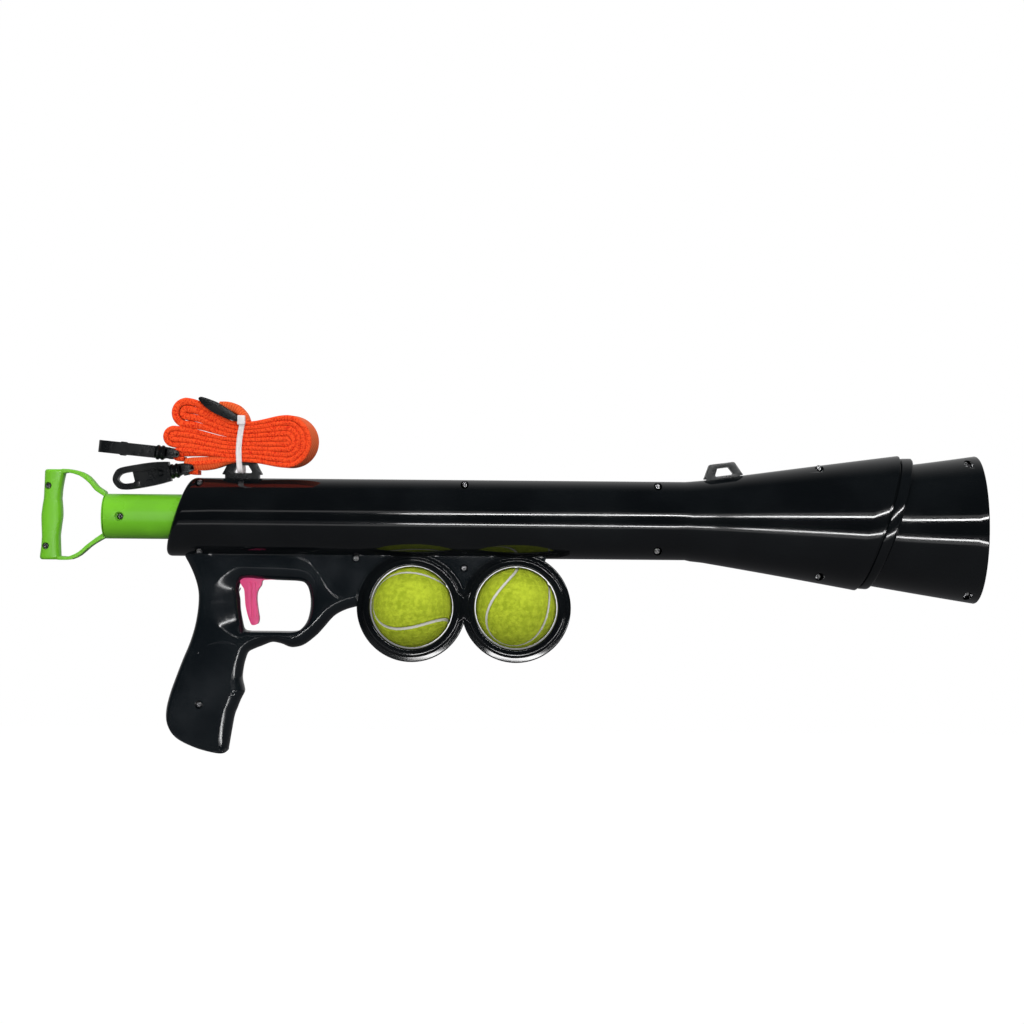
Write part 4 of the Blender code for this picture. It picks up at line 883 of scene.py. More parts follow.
def makeNeck(name, side):
    # the flat face that joins the two rings
    r = ringShape
    (rearX, z), (frontX, z) = r["places"].values()
    reach = r["band"] - r["neckInset"]
    spread = math.asin(r["neckHeight"] / reach)
    turns = [spread * (index / r["neckSteps"] * 2 - 1) for index in range(r["neckSteps"] + 1)]
    rearArc = [(rearX + reach * math.cos(turn), z + reach * math.sin(turn)) for turn in turns]
    frontArc = [(frontX - reach * math.cos(turn), z + reach * math.sin(turn)) for turn in reversed(turns)]
    middle = (rearX + frontX) / 2
    dip = r["neckHeight"] * r["neckDip"]
    outline = rearArc + [(middle, z + dip)] + frontArc + [(middle, z - dip)]
    low, high = sorted((side * r["neckInner"], side * (r["half"] - r["faceGap"])))
    neck = soften(plateBetween(name, outline, low, high, "glossBlack"), r["neckRounding"], 3, 60)
    belong([neck], "launcher", sideNode(side, "{}_shell"))


def makeRings():
    r = ringShape
    seam = common["partingGap"] / 2
    fine, small = r["cornerRadii"]
    radii = [fine, r["holeRounding"], r["bandRounding"], small, r["outerRounding"], fine]
    for label, (x, z) in r["places"].items():
        for sideName, side in (("Right", -1), ("Left", 1)):
            points = [
                (r["hole"], side * seam), (r["hole"], side * r["half"]), (r["band"], side * r["half"]),
                (r["band"] + r["step"], side * r["edge"]), (r["outer"], side * r["edge"]), (r["outer"], side * seam),
            ]
            profile = roundedProfile(points, radii, r["cornerSteps"])
            ring = spun("ballRing" + label + sideName, profile, "Y", (x, 0, z), r["segments"], "glossBlack", True)
            belong([ring], "launcher", sideNode(side, "{}_shell"))
    makeNeck("ringNeckRight", -1)
    makeNeck("ringNeckLeft", 1)


makeRings()
print("rings made")


# spare balls, felt with a rubber seam

ballShape = {
    "radius": 0.0311, "detail": 52, "seamHalf": 0.00125, "seamDepth": 0.00055, "fuzz": 0.00022,
    "curl": 0.72, "seamSteps": 300, "fuzzScales": (60, 19), "secondFuzz": 0.8, "lipAt": 1.9, "lipWidth": 0.0011,
    "lipHeight": 0.35, "seamSlope": 0.0006, "napFrom": 1.5, "inset": 0.0002, "smoothAngle": 80,
    "places": {"rear": (0.1545, 0, 0.0647), "front": (0.2335, 0, 0.0647)},
    "turns": {"rear": (96.9, 150.7, 85.3), "front": (14.3, -23.9, 137.8)},
}


def seamLine():
    a = ballShape["curl"]
    b = 1 - a
    points = []
    for index in range(ballShape["seamSteps"]):
        t = 2 * math.pi * index / ballShape["seamSteps"]
        point = Vector((
            a * math.cos(t) + b * math.cos(3 * t), a * math.sin(t) - b * math.sin(3 * t),
            2 * math.sqrt(a * b) * math.sin(2 * t),
        ))
        points.append(tuple(point.normalized()))
    return np.array(points)


def makeBall(label):
    s = ballShape
    mesh = bmesh.new()
    bmesh.ops.create_cube(mesh, size=2.0)
    bmesh.ops.subdivide_edges(mesh, edges=mesh.edges[:], cuts=s["detail"], use_grid_fill=True)
    turn = Euler([math.radians(angle) for angle in s["turns"][label]]).to_matrix()
    seam = seamLine() @ np.array(turn.transposed())
    for vert in mesh.verts:
        # even out the cube's grid before it is blown up into a sphere
        vert.co = Vector([math.tan(c * math.pi / 4) for c in vert.co]).normalized()
    normals = np.array([tuple(vert.co) for vert in mesh.verts])
    gap = np.full(len(normals), 9.0)
    for point in seam:
        gap = np.minimum(gap, np.linalg.norm(normals - point, axis=1))
    gap *= s["radius"]
    for vert, near in zip(mesh.verts, gap):
        outward = vert.co.copy()
        fine, broad = [noise.noise(outward * scale) * s["fuzz"] for scale in s["fuzzScales"]]
        nap = fine + broad * s["secondFuzz"] if near > s["seamHalf"] * s["napFrom"] else 0
        lip = math.exp(-(((near - s["seamHalf"] * s["lipAt"]) / s["lipWidth"]) ** 2)) * s["seamDepth"] * s["lipHeight"]
        sunk = s["seamDepth"] * (1 - min(max((near - s["seamHalf"]) / s["seamSlope"], 0), 1))
        vert.co = outward * (s["radius"] - s["fuzz"] - sunk + nap + lip - s["inset"])
    ball = link("ball" + label.capitalize(), mesh, "ballFelt", math.radians(s["smoothAngle"]))
    mark = ball.data.attributes.new("seamGap", "FLOAT", "POINT")
    mark.data.foreach_set("value", gap)
    ball.location = s["places"][label]
    belong([ball], "ball_" + label, "ball_" + label)


for label in ballShape["places"]:
    makeBall(label)
print("balls made")


# plunger tube and pull handle

plunger = {
    "radius": 0.017, "wall": 0.003, "rearX": -0.078, "frontX": 0.352, "screwX": -0.0654,
    "screwHole": 0.0035, "segments": 96, "slot": (0.160, 0.171), "slotHalf": 0.006, "slotDepth": 0.006,
    "rounding": [0.0004, 0.0004, 0.0003, 0.0003], "screwSpan": (-0.03, -0.005), "screwRound": 48,
}


def makeTube():
    p = plunger
    points = [
        (p["radius"], p["rearX"]), (p["radius"], p["frontX"]),
        (p["radius"] - p["wall"], p["frontX"]), (p["radius"] - p["wall"], p["rearX"]),
    ]
    profile = roundedProfile(points, p["rounding"], 3)
    tube = spun("plungerTube", profile, "X", (0, 0, common["axisZ"]), p["segments"], "limeGreen", True)
    bore = [(p["screwHole"], along) for along in p["screwSpan"]]
    hole = spun("hole", bore, "Y", (p["screwX"], 0, common["axisZ"]), p["screwRound"], None)
    (rear, front), foot = p["slot"], common["axisZ"] - p["radius"]
    low, high = (rear, -p["slotHalf"], foot - p["slotDepth"]), (front, p["slotHalf"], foot + p["slotDepth"])
    carve(tube, [hole, boxBetween("slot", low, high)])
    belong([tube], "plunger", "plunger_tube")


makeTube()

pull = {
    "rearX": -0.078, "length": 0.05, "halfHeight": 0.0345, "half": 0.0082,
    "screws": [(-0.1208, 0.1543), (-0.12247, 0.1087)], "recess": 0.0027, "seat": 0.0042,
    "rounding": 0.0011, "steps": 3, "plugReach": 0.03, "segments": 96, "armHalf": 0.0062, "dome": 0.0014,
    "barSteps": 44, "barRound": 20, "barPower": 0.72, "endLength": 0.0022, "endShrink": 0.22, "domeSteps": 6,
    "domeRise": 0.20, "core": 0.0004, "fit": 0.0003, "capRecess": 0.0026, "capSeat": 0.008, "smoothAngle": 50,
}
# the bar's outer and inner edges by height, in shares
barEdges = [
    (-0.960, 0.994, 0.686), (-0.88, 0.994, 0.682), (-0.66, 0.974, 0.690), (-0.44, 0.966, 0.696), (-0.20, 0.974, 0.676),
    (0.0, 0.979, 0.656), (0.20, 0.963, 0.662), (0.38, 0.941, 0.676), (0.60, 0.935, 0.664), (0.80, 0.930, 0.640),
    (0.95, 0.928, 0.616), (1.02, 0.928, 0.602),
]
upperArm = [
    (0.0, 0.530), (0.05, 0.585), (0.118, 0.652), (0.18, 0.755), (0.252, 0.867), (0.36, 0.960), (0.516, 1.017),
    (0.60, 1.028), (0.68, 1.020), (0.68, 0.930), (0.60, 0.942), (0.548, 0.945), (0.40, 0.888), (0.284, 0.771),
    (0.22, 0.678), (0.166, 0.580), (0.09, 0.500), (0.0, 0.430),
]
lowerArm = [
    (0.0, -0.475), (0.028, -0.493), (0.14, -0.585), (0.242, -0.690), (0.38, -0.865), (0.504, -0.954), (0.62, -0.967),
    (0.74, -0.958), (0.74, -0.885), (0.62, -0.893), (0.538, -0.885), (0.40, -0.790), (0.292, -0.650),
    (0.20, -0.545), (0.10, -0.440), (0.0, -0.355),
]


def makeBar(name, side):
    # the bar that the hand holds, round in section
    p = pull
    seam = side * common["partingGap"] / 2
    mesh = bmesh.new()
    table = np.array(barEdges)
    rings = []
    for step in range(p["barSteps"] + 1):
        share = (1 - math.cos(math.pi * step / p["barSteps"])) / 2
        v = table[0, 0] + (table[-1, 0] - table[0, 0]) * share
        outer, inner = [p["rearX"] - np.interp(v, table[:, 0], table[:, column]) * p["length"] for column in (1, 2)]
        fromEnd = min(share, 1 - share) * (table[-1, 0] - table[0, 0]) * p["halfHeight"]
        swell = math.sqrt(max(1 - (1 - min(fromEnd / p["endLength"], 1)) ** 2, 0))
        shrink = swell * p["endShrink"] + (1 - p["endShrink"])
        ring = []
        for index in range(p["barRound"] + 1):
            turn = math.pi * index / p["barRound"]
            across = math.copysign(abs(math.cos(turn)) ** p["barPower"], math.cos(turn)) * shrink
            deep = abs(math.sin(turn)) ** p["barPower"] * shrink * p["half"]
            x = (outer + inner) / 2 + across * (inner - outer) / 2
            ring.append(mesh.verts.new((x, seam + side * deep, common["axisZ"] + v * p["halfHeight"])))
        rings.append(ring)
    bridge(mesh, rings)
    mesh.faces.new(rings[0])
    mesh.faces.new(rings[-1][::-1])
    return link(name, mesh, "limeGreen", math.radians(p["smoothAngle"]))


def makePull():
    p = pull
    frontX = p["rearX"] - p["fit"]
    radius = plunger["radius"]
    plugRadius = radius - plunger["wall"] - p["fit"]
    turns = [math.pi / 2 * step / p["domeSteps"] for step in range(p["domeSteps"] + 1)]
    rise = p["domeRise"]
    stations = [
        (frontX - p["dome"] * math.cos(turn), radius * (1 - rise + rise * math.sin(turn)), 0, 0, p["core"])
        for turn in turns
    ]
    stations += [(x, plugRadius, 0, 0, p["core"]) for x in (frontX, frontX + p["plugReach"])]
    for label, side in (("Right", -1), ("Left", 1)):
        pieces = []
        for arm in (upperArm, lowerArm):
            line = [(p["rearX"] - u * p["length"], common["axisZ"] + v * p["halfHeight"]) for u, v in arm]
            low, high = sorted((side * common["partingGap"] / 2, side * p["armHalf"]))
            made = plateBetween("handleArm" + label, flowing(line, 2), low, high, "limeGreen")
            pieces.append(soften(made, p["rounding"], p["steps"], p["smoothAngle"]))
        cap = halfShell("handleCap" + label, stations, side, p["segments"] // 2, "limeGreen")
        bar = makeBar("handleBar" + label, side)
        if side < 0:
            carve(cap, recessCutters([(plunger["screwX"], common["axisZ"])], p["capRecess"], p["capSeat"], side))
            carve(bar, recessCutters(p["screws"], p["recess"], p["seat"], side))
        belong(pieces + [cap, bar], "plunger", sideNode(side, "handle_{}"))


makePull()
print("plunger made")


# trigger

trigger = {
    "x": 0.04, "z": 0.09501, "depth": 0.017, "length": 0.045, "half": 0.004, "rounding": 0.0013, "bore": 0.0023,
    "ridges": [(-0.58, -0.44), (-0.36, -0.22)], "ridgeTop": -0.30, "ridgeFoot": -0.84, "ridgeHeight": 0.0014,
    "ridgeBend": -0.60, "ridgeShifts": [0.0, 0.0, 0.02, 0.05, 0.09, 0.03], "ridgeInner": 0.003, "ridgeSlant": 0.02,
    "ridgeRounding": 0.0005, "spacing": 0.0007, "ridgeSpacing": 0.0006, "boreReach": 0.03, "boreRound": 32,
}
triggerLine = [
    (-0.88, 0.24), (-0.69, 0.244), (-0.50, 0.24), (-0.42, 0.13), (0.05, 0.10), (0.55, 0.04), (0.78, -0.06),
    (0.79, -0.15), (0.74, -0.225), (0.40, -0.235), (0.08, -0.25), (0.02, -0.33), (-0.13, -0.42),
    (-0.18, -0.53), (-0.155, -0.66), (-0.10, -0.80), (-0.065, -0.88), (-0.09, -0.95), (-0.17, -0.99),
    (-0.37, -1.0), (-0.47, -0.94), (-0.58, -0.82), (-0.67, -0.67), (-0.71, -0.50), (-0.75, -0.39),
    (-0.90, -0.30), (-0.91, -0.20), (-0.89, -0.05), (-0.885, 0.10),
]


def makeTrigger():
    s = trigger
    line = [(s["x"] + u * s["depth"], s["z"] + v * s["length"]) for u, v in triggerLine]
    outline = [tuple(point) for point in evenly(flowing(line, 4), s["spacing"])]
    blade = plateBetween("triggerBlade", outline, -s["half"], s["half"], "hotPink")
    soften(blade, s["rounding"], 4, 60)
    bore = [(s["bore"], -s["boreReach"]), (s["bore"], s["boreReach"])]
    carve(blade, [spun("bore", bore, "Y", (s["x"], 0, s["z"]), s["boreRound"], None)])
    pieces = [blade]
    top, bend, foot, slant = s["ridgeTop"], s["ridgeBend"], s["ridgeFoot"], s["ridgeSlant"]
    for side in (-1, 1):
        low, high = sorted((side * s["ridgeInner"], side * (s["half"] + s["ridgeHeight"])))
        for rear, front in s["ridges"]:
            edges = [rear, front, front, front, rear, rear]
            heights = [top, top - slant, bend, foot - slant, foot, bend]
            line = [
                (s["x"] + (edge + shift) * s["depth"], s["z"] + height * s["length"])
                for edge, shift, height in zip(edges, s["ridgeShifts"], heights)
            ]
            line = evenly(flowing(line, 4), s["ridgeSpacing"]).tolist()
            ridge = plateBetween("triggerRidge", line, low, high, "hotPink")
            pieces.append(soften(ridge, s["ridgeRounding"], 3, 60))
    belong(pieces, "trigger", "trigger")


makeTrigger()
print("trigger made")


# loops for the strap

strapLoop = {
    "half": 0.005, "height": 0.0108, "rounding": 0.0011, "footDepth": 0.0034, "gap": 0.0003, "footHalf": 0.84,
    "places": {"rear": (0.0252, 0.1635, 0.0305, 0.0), "front": (0.3898, 0.1646, 0.0302, 7.5)},
    "outerRadii": [0.0006, 0.0008, 0.0022, 0.0022, 0.0008, 0.0006] + [0.0002] * 4, "innerRadii": [0.0009] * 4,
}
loopOuter = [(-1.0, 0.0), (-0.90, 0.24), (-0.62, 1.0), (0.62, 1.0), (0.90, 0.24), (1.0, 0.0)]
loopInner = [(-0.44, 0.12), (-0.27, 0.66), (0.31, 0.66), (0.54, 0.12)]


def makeLoop(label):
    s = strapLoop
    x, z, length, tilt = s["places"][label]
    tilt = math.radians(tilt)

    def placed(points):
        spots = []
        for u, v in points:
            across, up = u * length / 2, v * s["height"] + s["gap"]
            spots.append((
                x + across * math.cos(tilt) - up * math.sin(tilt), z + across * math.sin(tilt) + up * math.cos(tilt),
            ))
        return spots

    wide, deep = s["footHalf"], -s["footDepth"] / s["height"]
    foot = [(wide, 0.0), (wide, deep), (-wide, deep), (-wide, 0.0)]
    outline = roundedProfile(placed(loopOuter + foot), s["outerRadii"], 4)
    opening = roundedProfile(placed(loopInner), s["innerRadii"], 4)
    frameLoop = plateBetween(label + "Loop", outline, -s["half"], s["half"], "satinBlack", [opening])
    soften(frameLoop, s["rounding"], 3, 55)
    belong([frameLoop], "launcher", label + "_strap_loop")


for label in strapLoop["places"]:
    makeLoop(label)
print("loops made")


# strap, folded into a hank of ten runs that meet at the waist

strap = {
    "runs": 10, "order": [10, 1, 4, 7, 6, 5, 8, 3, 2, 9], "halfWidth": 0.0099, "waistX": 0.0247,
    "waistTop": 0.20233, "waistPitch": 0.00307, "waistHalf": 0.0032, "waistThick": 0.00302,
    "right": {"x": 0.0625, "rise": 0.0006, "pitch": 0.004, "middle": 5.5, "thick": 0.00395},
    "upper": {"x": -0.0165, "rise": 0.0216, "pitch": 0.0058, "middle": 2.5, "thick": 0.0054},
    "lower": {"x": -0.026, "rise": 0.0036, "pitch": 0.0041, "middle": 6.5, "thick": 0.00405},
    "eyes": {"upper": (-0.0225, 0.1787), "lower": (-0.0115, 0.1685)},
    "curlRadius": 0.0034, "curlTail": 0.004, "runSteps": 6, "turnSteps": 14, "spacing": 0.0011,
    "endThick": 0.0034, "sway": 0.0009, "pucker": 0.00035, "edgeSteps": 5,
    "leanFrom": 0.034, "leanTo": 0.078, "lean": 0.0048, "edgeRound": 0.55, "faceShares": (-0.82, -0.4, 0.0, 0.4, 0.82),
    "swayScale": 60, "puckerScale": 210, "middleRun": 5.5, "smoothAngle": 60,
    # name, line, share of the width, seed, how much of it shows as a woven edge
    "ends": [
        ("strapEnd", "shortEnd", 0.92, 8, 0.2), ("strapTail", "tail", 0.94, 5, 0.3),
        ("strapUpperTail", "upperTail", 0.9, 6, 1.0),
    ],
    "shortEnd": [
        (0.0292, 0.2040, 0.0032), (0.0262, 0.2090, 0.0050), (0.0205, 0.2136, 0.0066), (0.0140, 0.2160, 0.0058),
        (0.0080, 0.2172, 0.0034),
    ],
    "tail": [
        (0.0230, 0.1750, 0.0034), (0.0130, 0.1742, 0.0064), (0.0030, 0.1726, 0.0094), (-0.0060, 0.1718, 0.0100),
        (-0.0140, 0.1722, 0.0084), (-0.0180, 0.1732, 0.0050),
    ],
    "upperTail": [
        (0.0230, 0.1782, 0.0030), (0.0080, 0.1795, 0.0044), (-0.0060, 0.1806, 0.0060), (-0.0170, 0.1812, 0.0076),
        (-0.0225, 0.1808, 0.0070),
    ],
}


def waistHeight(run):
    return strap["waistTop"] - (run - 1) * strap["waistPitch"]


def lobeOf(run):
    return strap["upper"] if run <= 4 else strap["lower"]


def turnPoints(centre, radius, start, end, count, thick):
    points = []
    for index in range(count + 1):
        turn = start + (end - start) * index / count
        points.append((centre[0] + radius * math.cos(turn), centre[1] + radius * math.sin(turn), thick))
    return points


def sidePoints(run, end, thick):
    # straight under the tie, then easing over to the lobe
    startX = strap["waistX"] + math.copysign(strap["waistHalf"], end[0] - strap["waistX"])
    height = waistHeight(run)
    points = []
    for index in range(strap["runSteps"] + 1):
        share = index / strap["runSteps"]
        smooth = share * share * (3 - 2 * share)
        points.append((
            startX + (end[0] - startX) * share, height + (end[1] - height) * smooth,
            strap["waistThick"] + (thick - strap["waistThick"]) * smooth,
        ))
    return points


def rightPoints(run):
    lobe = strap["right"]
    centreZ = waistHeight(lobe["middle"]) + lobe["rise"]
    return sidePoints(run, (lobe["x"], centreZ + (lobe["middle"] - run) * lobe["pitch"]), lobe["thick"])


def leftPoints(run):
    if run >= strap["runs"] - 1:
        x, z = strap["eyes"]["lower" if run == strap["runs"] else "upper"]
        return sidePoints(run, (x, z + strap["curlRadius"]), strap["endThick"])
    lobe = lobeOf(run)
    height = waistHeight(strap["middleRun"]) + lobe["rise"] + (lobe["middle"] - run) * lobe["pitch"]
    return sidePoints(run, (lobe["x"], height), lobe["thick"])


def curlPoints(label):
    s = strap
    centre = s["eyes"][label]
    points = turnPoints(centre, s["curlRadius"], math.pi / 2, math.pi * 1.5, s["turnSteps"], s["endThick"])
    points.append((centre[0] + s["curlTail"], centre[1] - s["curlRadius"], s["endThick"]))
    return points[1:]


def strapLine():
    s = strap
    right = s["right"]
    centreZ = waistHeight(right["middle"]) + right["rise"]
    line = curlPoints("lower")[::-1]
    for index in range(0, len(s["order"]), 2):
        outward, back = s["order"][index:index + 2]
        line += leftPoints(outward)[::-1] + rightPoints(outward)
        radius = abs(right["middle"] - outward) * right["pitch"]
        start = -math.pi / 2 if outward > right["middle"] else math.pi / 2
        line += turnPoints((right["x"], centreZ), radius, start, -start, s["turnSteps"], right["thick"])[1:-1]
        line += rightPoints(back)[::-1] + leftPoints(back)
        if back != s["runs"] - 1:
            lobe = lobeOf(back)
            centre = (lobe["x"], waistHeight(s["middleRun"]) + lobe["rise"])
            radius = abs(lobe["middle"] - back) * lobe["pitch"]
            start = math.pi / 2 if back < lobe["middle"] else math.pi * 1.5
            line += turnPoints(centre, radius, start, 2 * math.pi - start, s["turnSteps"], lobe["thick"])[1:-1]
    return line + curlPoints("upper")


def webbing(name, line, halfWidth, seed, side=1.0):
    # webbing along a line of X, Z and thickness, its folded edges a little uneven
    s = strap
    line = evenly(flowing(line, 3, False), s["spacing"], False)
    mesh = bmesh.new()
    marks = mesh.verts.layers.float_vector.new("strapPlace")
    rings = []
    walked = 0
    for index, (x, z, thick) in enumerate(line):
        before, after = line[max(index - 1, 0)], line[min(index + 1, len(line) - 1)]
        heading = Vector((after[0] - before[0], after[1] - before[1])).normalized()
        outward = Vector((-heading.y, heading.x))
        walked += s["spacing"]
        shift = noise.noise(Vector((walked * s["swayScale"], seed, 0))) * s["sway"]
        pucker = abs(noise.noise(Vector((walked * s["puckerScale"], seed, 5)))) * s["pucker"]
        wide = halfWidth - pucker - abs(shift) * 0.5
        half = thick / 2
        full = []
        for near in (1, -1):
            face = [(-near * wide * share, near * half, 0.0) for share in s["faceShares"]]
            rim = []
            for step in range(1, 2 * s["edgeSteps"]):
                turn = math.pi / 2 - math.pi * step / (2 * s["edgeSteps"])
                inset = half * s["edgeRound"] * (1 - math.cos(turn))
                rim.append((-near * (wide - inset), near * half * math.sin(turn), side))
            full += face + rim
        verts = []
        for y, out, mark in full:
            spotX = x + outward.x * out
            spotX -= s["lean"] * float(eased(spotX, s["leanFrom"], s["leanTo"])) * (0.5 - y / (2 * s["halfWidth"]))
            vert = mesh.verts.new((spotX, y + shift, z + outward.y * out))
            vert[marks] = Vector((walked, y + shift, mark))
            verts.append(vert)
        rings.append(verts)
    bridge(mesh, rings)
    mesh.faces.new(rings[0])
    mesh.faces.new(rings[-1][::-1])
    return link(name, mesh, "wovenStrap", math.radians(s["smoothAngle"]))


def makeStrap():
    pieces = [webbing("strapHank", strapLine(), strap["halfWidth"], 3)]
    for name, line, wide, seed, edge in strap["ends"]:
        pieces.append(webbing(name, strap[line], strap["halfWidth"] * wide, seed, edge))
    belong(pieces, "launcher", "strap_hank")


makeStrap()
print("strap made")


# slider on the strap, and the tie round its waist

slider = {
    "long": 0.0178, "half": 0.0135, "thick": 0.0084, "rounding": 0.0009, "slope": 25.5, "middle": (0.0083, 0.2118),
    "lift": 0.0006, "spacing": 0.0011,
}
sliderLine = [
    (-1.0, 0.10), (-0.97, 0.30), (-0.80, 0.42), (-0.45, 0.50), (0.0, 0.50), (0.45, 0.38), (0.8, 0.20),
    (1.0, 0.0), (0.98, -0.18), (0.7, -0.34), (0.3, -0.44), (-0.2, -0.44), (-0.6, -0.30), (-0.9, -0.06),
]


def makeSlider():
    s = slider
    turn = -math.radians(s["slope"])
    c, d = math.cos(turn), math.sin(turn)
    x, z = s["middle"]
    line = evenly(flowing([(u * s["long"], v * s["thick"]) for u, v in sliderLine], 4), s["spacing"])
    outline = [(x + u * c - v * d, z + u * d + v * c) for u, v in [(u, v + s["lift"]) for u, v in line]]
    buckle = soften(plateBetween("slider", outline, -s["half"], s["half"], "satinBlack"), s["rounding"], 3, 60)
    belong([buckle], "launcher", "slider_buckle")


tie = {
    "x": 0.0247, "innerY": 0.0107, "wall": 0.0012, "half": 0.0022, "top": 0.2040, "low": 0.1656,
    "corner": 0.0030, "bow": 0.0013, "headLow": (-0.0026, -0.0138, 0.2012), "headHigh": (0.0034, -0.0088, 0.2084),
    "headRounding": 0.0009, "spacing": 0.0009, "bowShape": (1.3, 0.2, 1.12), "rib": 0.00035,
    # half of the band's section: share of its width, share of its wall
    "section": [(1, 0.0), (0.92, 0.75), (0.6, 1.0)], "ribAt": 0.35,
}


def makeTie():
    s = tie
    corners = [(-s["innerY"], s["low"]), (s["innerY"], s["low"]), (s["innerY"], s["top"]), (-s["innerY"], s["top"])]
    line = evenly(roundedProfile(corners, [s["corner"]] * 4, 6), s["spacing"])
    mesh = bmesh.new()
    rings = []
    count = len(line)
    half = s["section"] + [(s["ribAt"], 1.0 - s["rib"] / s["wall"])]
    section = [(u, v * s["wall"]) for u, v in [(-u, v) for u, v in half] + half[::-1]]
    square, drop, arch = s["bowShape"]
    for index, (y, z) in enumerate(line):
        ahead = Vector(line[(index + 1) % count]) - Vector(line[index - 1])
        outward = Vector((ahead.y, -ahead.x)).normalized()
        share = (z - s["low"]) / (s["top"] - s["low"])
        shift = s["bow"] * (square * share * share - drop - arch * math.sin(math.pi * min(max(share, 0), 1)))
        rings.append([
            mesh.verts.new((s["x"] + shift + u * s["half"], y + outward.x * out, z + outward.y * out))
            for u, out in section
        ])
    bridge(mesh, rings, True)
    band = link("tieBand", mesh, "clearTie")
    low, high = [[s["x"] + corner[0], corner[1], corner[2]] for corner in (s["headLow"], s["headHigh"])]
    head = soften(boxBetween("tieHead", low, high, "clearTie"), s["headRounding"], 3)
    belong([band, head], "launcher", "zip_tie")


makeSlider()
makeTie()
print("slider and tie made")


# swivel hooks, each drawn along -X from its eye bar

hook = {
    "half": 0.0077, "thick": 0.0046, "rounding": 0.0010, "webHalf": 0.0017, "spacing": 0.0012, "blockTop": 0.0042,
    "barRadius": 0.0013, "eyeHalf": 0.0138, "cheekInner": 0.0113, "eyeBack": ((-0.0105, -0.0034), (-0.0072, 0.0038)),
    "blockRounding": 0.0008, "cheekRounding": 0.0006, "swivelRound": 40, "barRound": 24,
    "places": {"upper": (-0.0225, 0.1787, 5.6, 90), "lower": (-0.0115, 0.1685, -9.0, 0)},
    "tall": {"upper": 1.0, "lower": 1.16}, "block": (-0.0465, -0.0415), "blockRise": 0.0007, "webFrom": -0.0470,
}
hookLine = [
    (-0.0183, 0.0066), (-0.030, 0.0077), (-0.046, 0.0077), (-0.0560, 0.0070), (-0.0602, 0.0040), (-0.062, 0.0),
    (-0.0602, -0.0042), (-0.0560, -0.0070), (-0.046, -0.0077), (-0.030, -0.0072), (-0.0183, -0.0060),
]
hookHole = [
    (-0.0240, 0.0030), (-0.036, 0.0038), (-0.048, 0.0042), (-0.0548, 0.0036), (-0.0578, 0.0010), (-0.0576, -0.0012),
    (-0.0540, -0.0038), (-0.046, -0.0042), (-0.034, -0.0036), (-0.0240, -0.0028),
]
tongue = [
    (-0.0104, 0.0046), (-0.0060, 0.0044), (0.0002, 0.0026), (0.0013, 0.0014), (0.0013, -0.0014), (0.0002, -0.0024),
    (-0.0060, -0.0040), (-0.0104, -0.0042),
]
swivelLine = [
    (0.0, -0.0275), (0.0024, -0.0275), (0.0029, -0.0270), (0.0029, -0.0246), (0.0022, -0.0243), (0.0022, -0.0183),
    (0.0048, -0.0181), (0.0056, -0.0174), (0.0056, -0.0160), (0.0050, -0.0154), (0.0046, -0.0148), (0.0052, -0.0142),
    (0.0056, -0.0136), (0.0056, -0.0126), (0.0050, -0.0118), (0.0044, -0.0112), (0.0036, -0.0090), (0.0, -0.0080),
]


def makeHook(label):
    s = hook
    x, z, angle, roll = s["places"][label]
    lay = Matrix.Translation((x, 0, z)) @ Matrix.Rotation(math.radians(angle), 4, "Y")
    turned = lay @ Matrix.Rotation(math.radians(roll), 4, "X")
    line = [(u, v * s["tall"][label]) for u, v in hookLine]
    outline = evenly(flowing(line, 5, False), s["spacing"], False).tolist()
    opening = evenly(flowing(hookHole, 5), s["spacing"]).tolist()
    shackle = plateBetween(label + "Hook", outline, -s["thick"], s["thick"], "satinBlack", [opening])
    soften(shackle, s["rounding"], 3, 60)
    slot = [point for point in opening if point[0] > s["webFrom"]]
    web = plateBetween(label + "HookWeb", slot, -s["webHalf"], s["webHalf"], "satinBlack")
    deep, foot = s["thick"] + s["blockRise"], -s["half"] - s["blockRise"]
    rear, front = s["block"]
    low, high = (rear, -deep, foot), (front, deep, -s["half"] + s["blockTop"])
    block = boxBetween(label + "HookBlock", low, high, "satinBlack")
    turning = [shackle, web, soften(block, s["blockRounding"], 3)]
    wide = s["eyeHalf"]
    (backX, backLow), (frontX, backHigh) = s["eyeBack"]
    back = boxBetween(label + "EyeBack", (backX, -wide, backLow), (frontX, wide, backHigh), "satinBlack")
    bar = [(s["barRadius"], -wide), (s["barRadius"], wide)]
    fixed = [
        spun(label + "Swivel", swivelLine, "X", (0, 0, 0), s["swivelRound"], "satinBlack"),
        spun(label + "EyeBar", bar, "Y", (0, 0, 0), s["barRound"], "satinBlack"), soften(back, s["blockRounding"], 3),
    ]
    for low, high in ((-wide, -s["cheekInner"]), (s["cheekInner"], wide)):
        cheek = plateBetween(label + "EyeCheek", tongue, low, high, "satinBlack")
        fixed.append(soften(cheek, s["cheekRounding"], 2, 50))
    for pieces, matrix in ((turning, turned), (fixed, lay)):
        for piece in pieces:
            piece.matrix_world = matrix
    belong(turning, label + "_hook", label + "_hook")
    belong(fixed, "launcher", label + "_swivel")


for label in hook["places"]:
    makeHook(label)
print("hooks made")


# finishes of the parts that stay as they were drawn

keptFinishes = {"pusher_cup": "whiteAcetal", "guide_bush": "whiteAcetal"}
steelWords = ("spring", "sear", "pin", "screw")


def paintKept():
    for name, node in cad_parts.items():
        steel = any(word in name.split("_") for word in steelWords)
        finish = keptFinishes.get(name, "plainSteel" if steel else None)
        if finish:
            node.data.materials.clear()
            node.data.materials.append(finishes[finish])


paintKept()
print("kept parts painted")


# floor, lights, world and camera

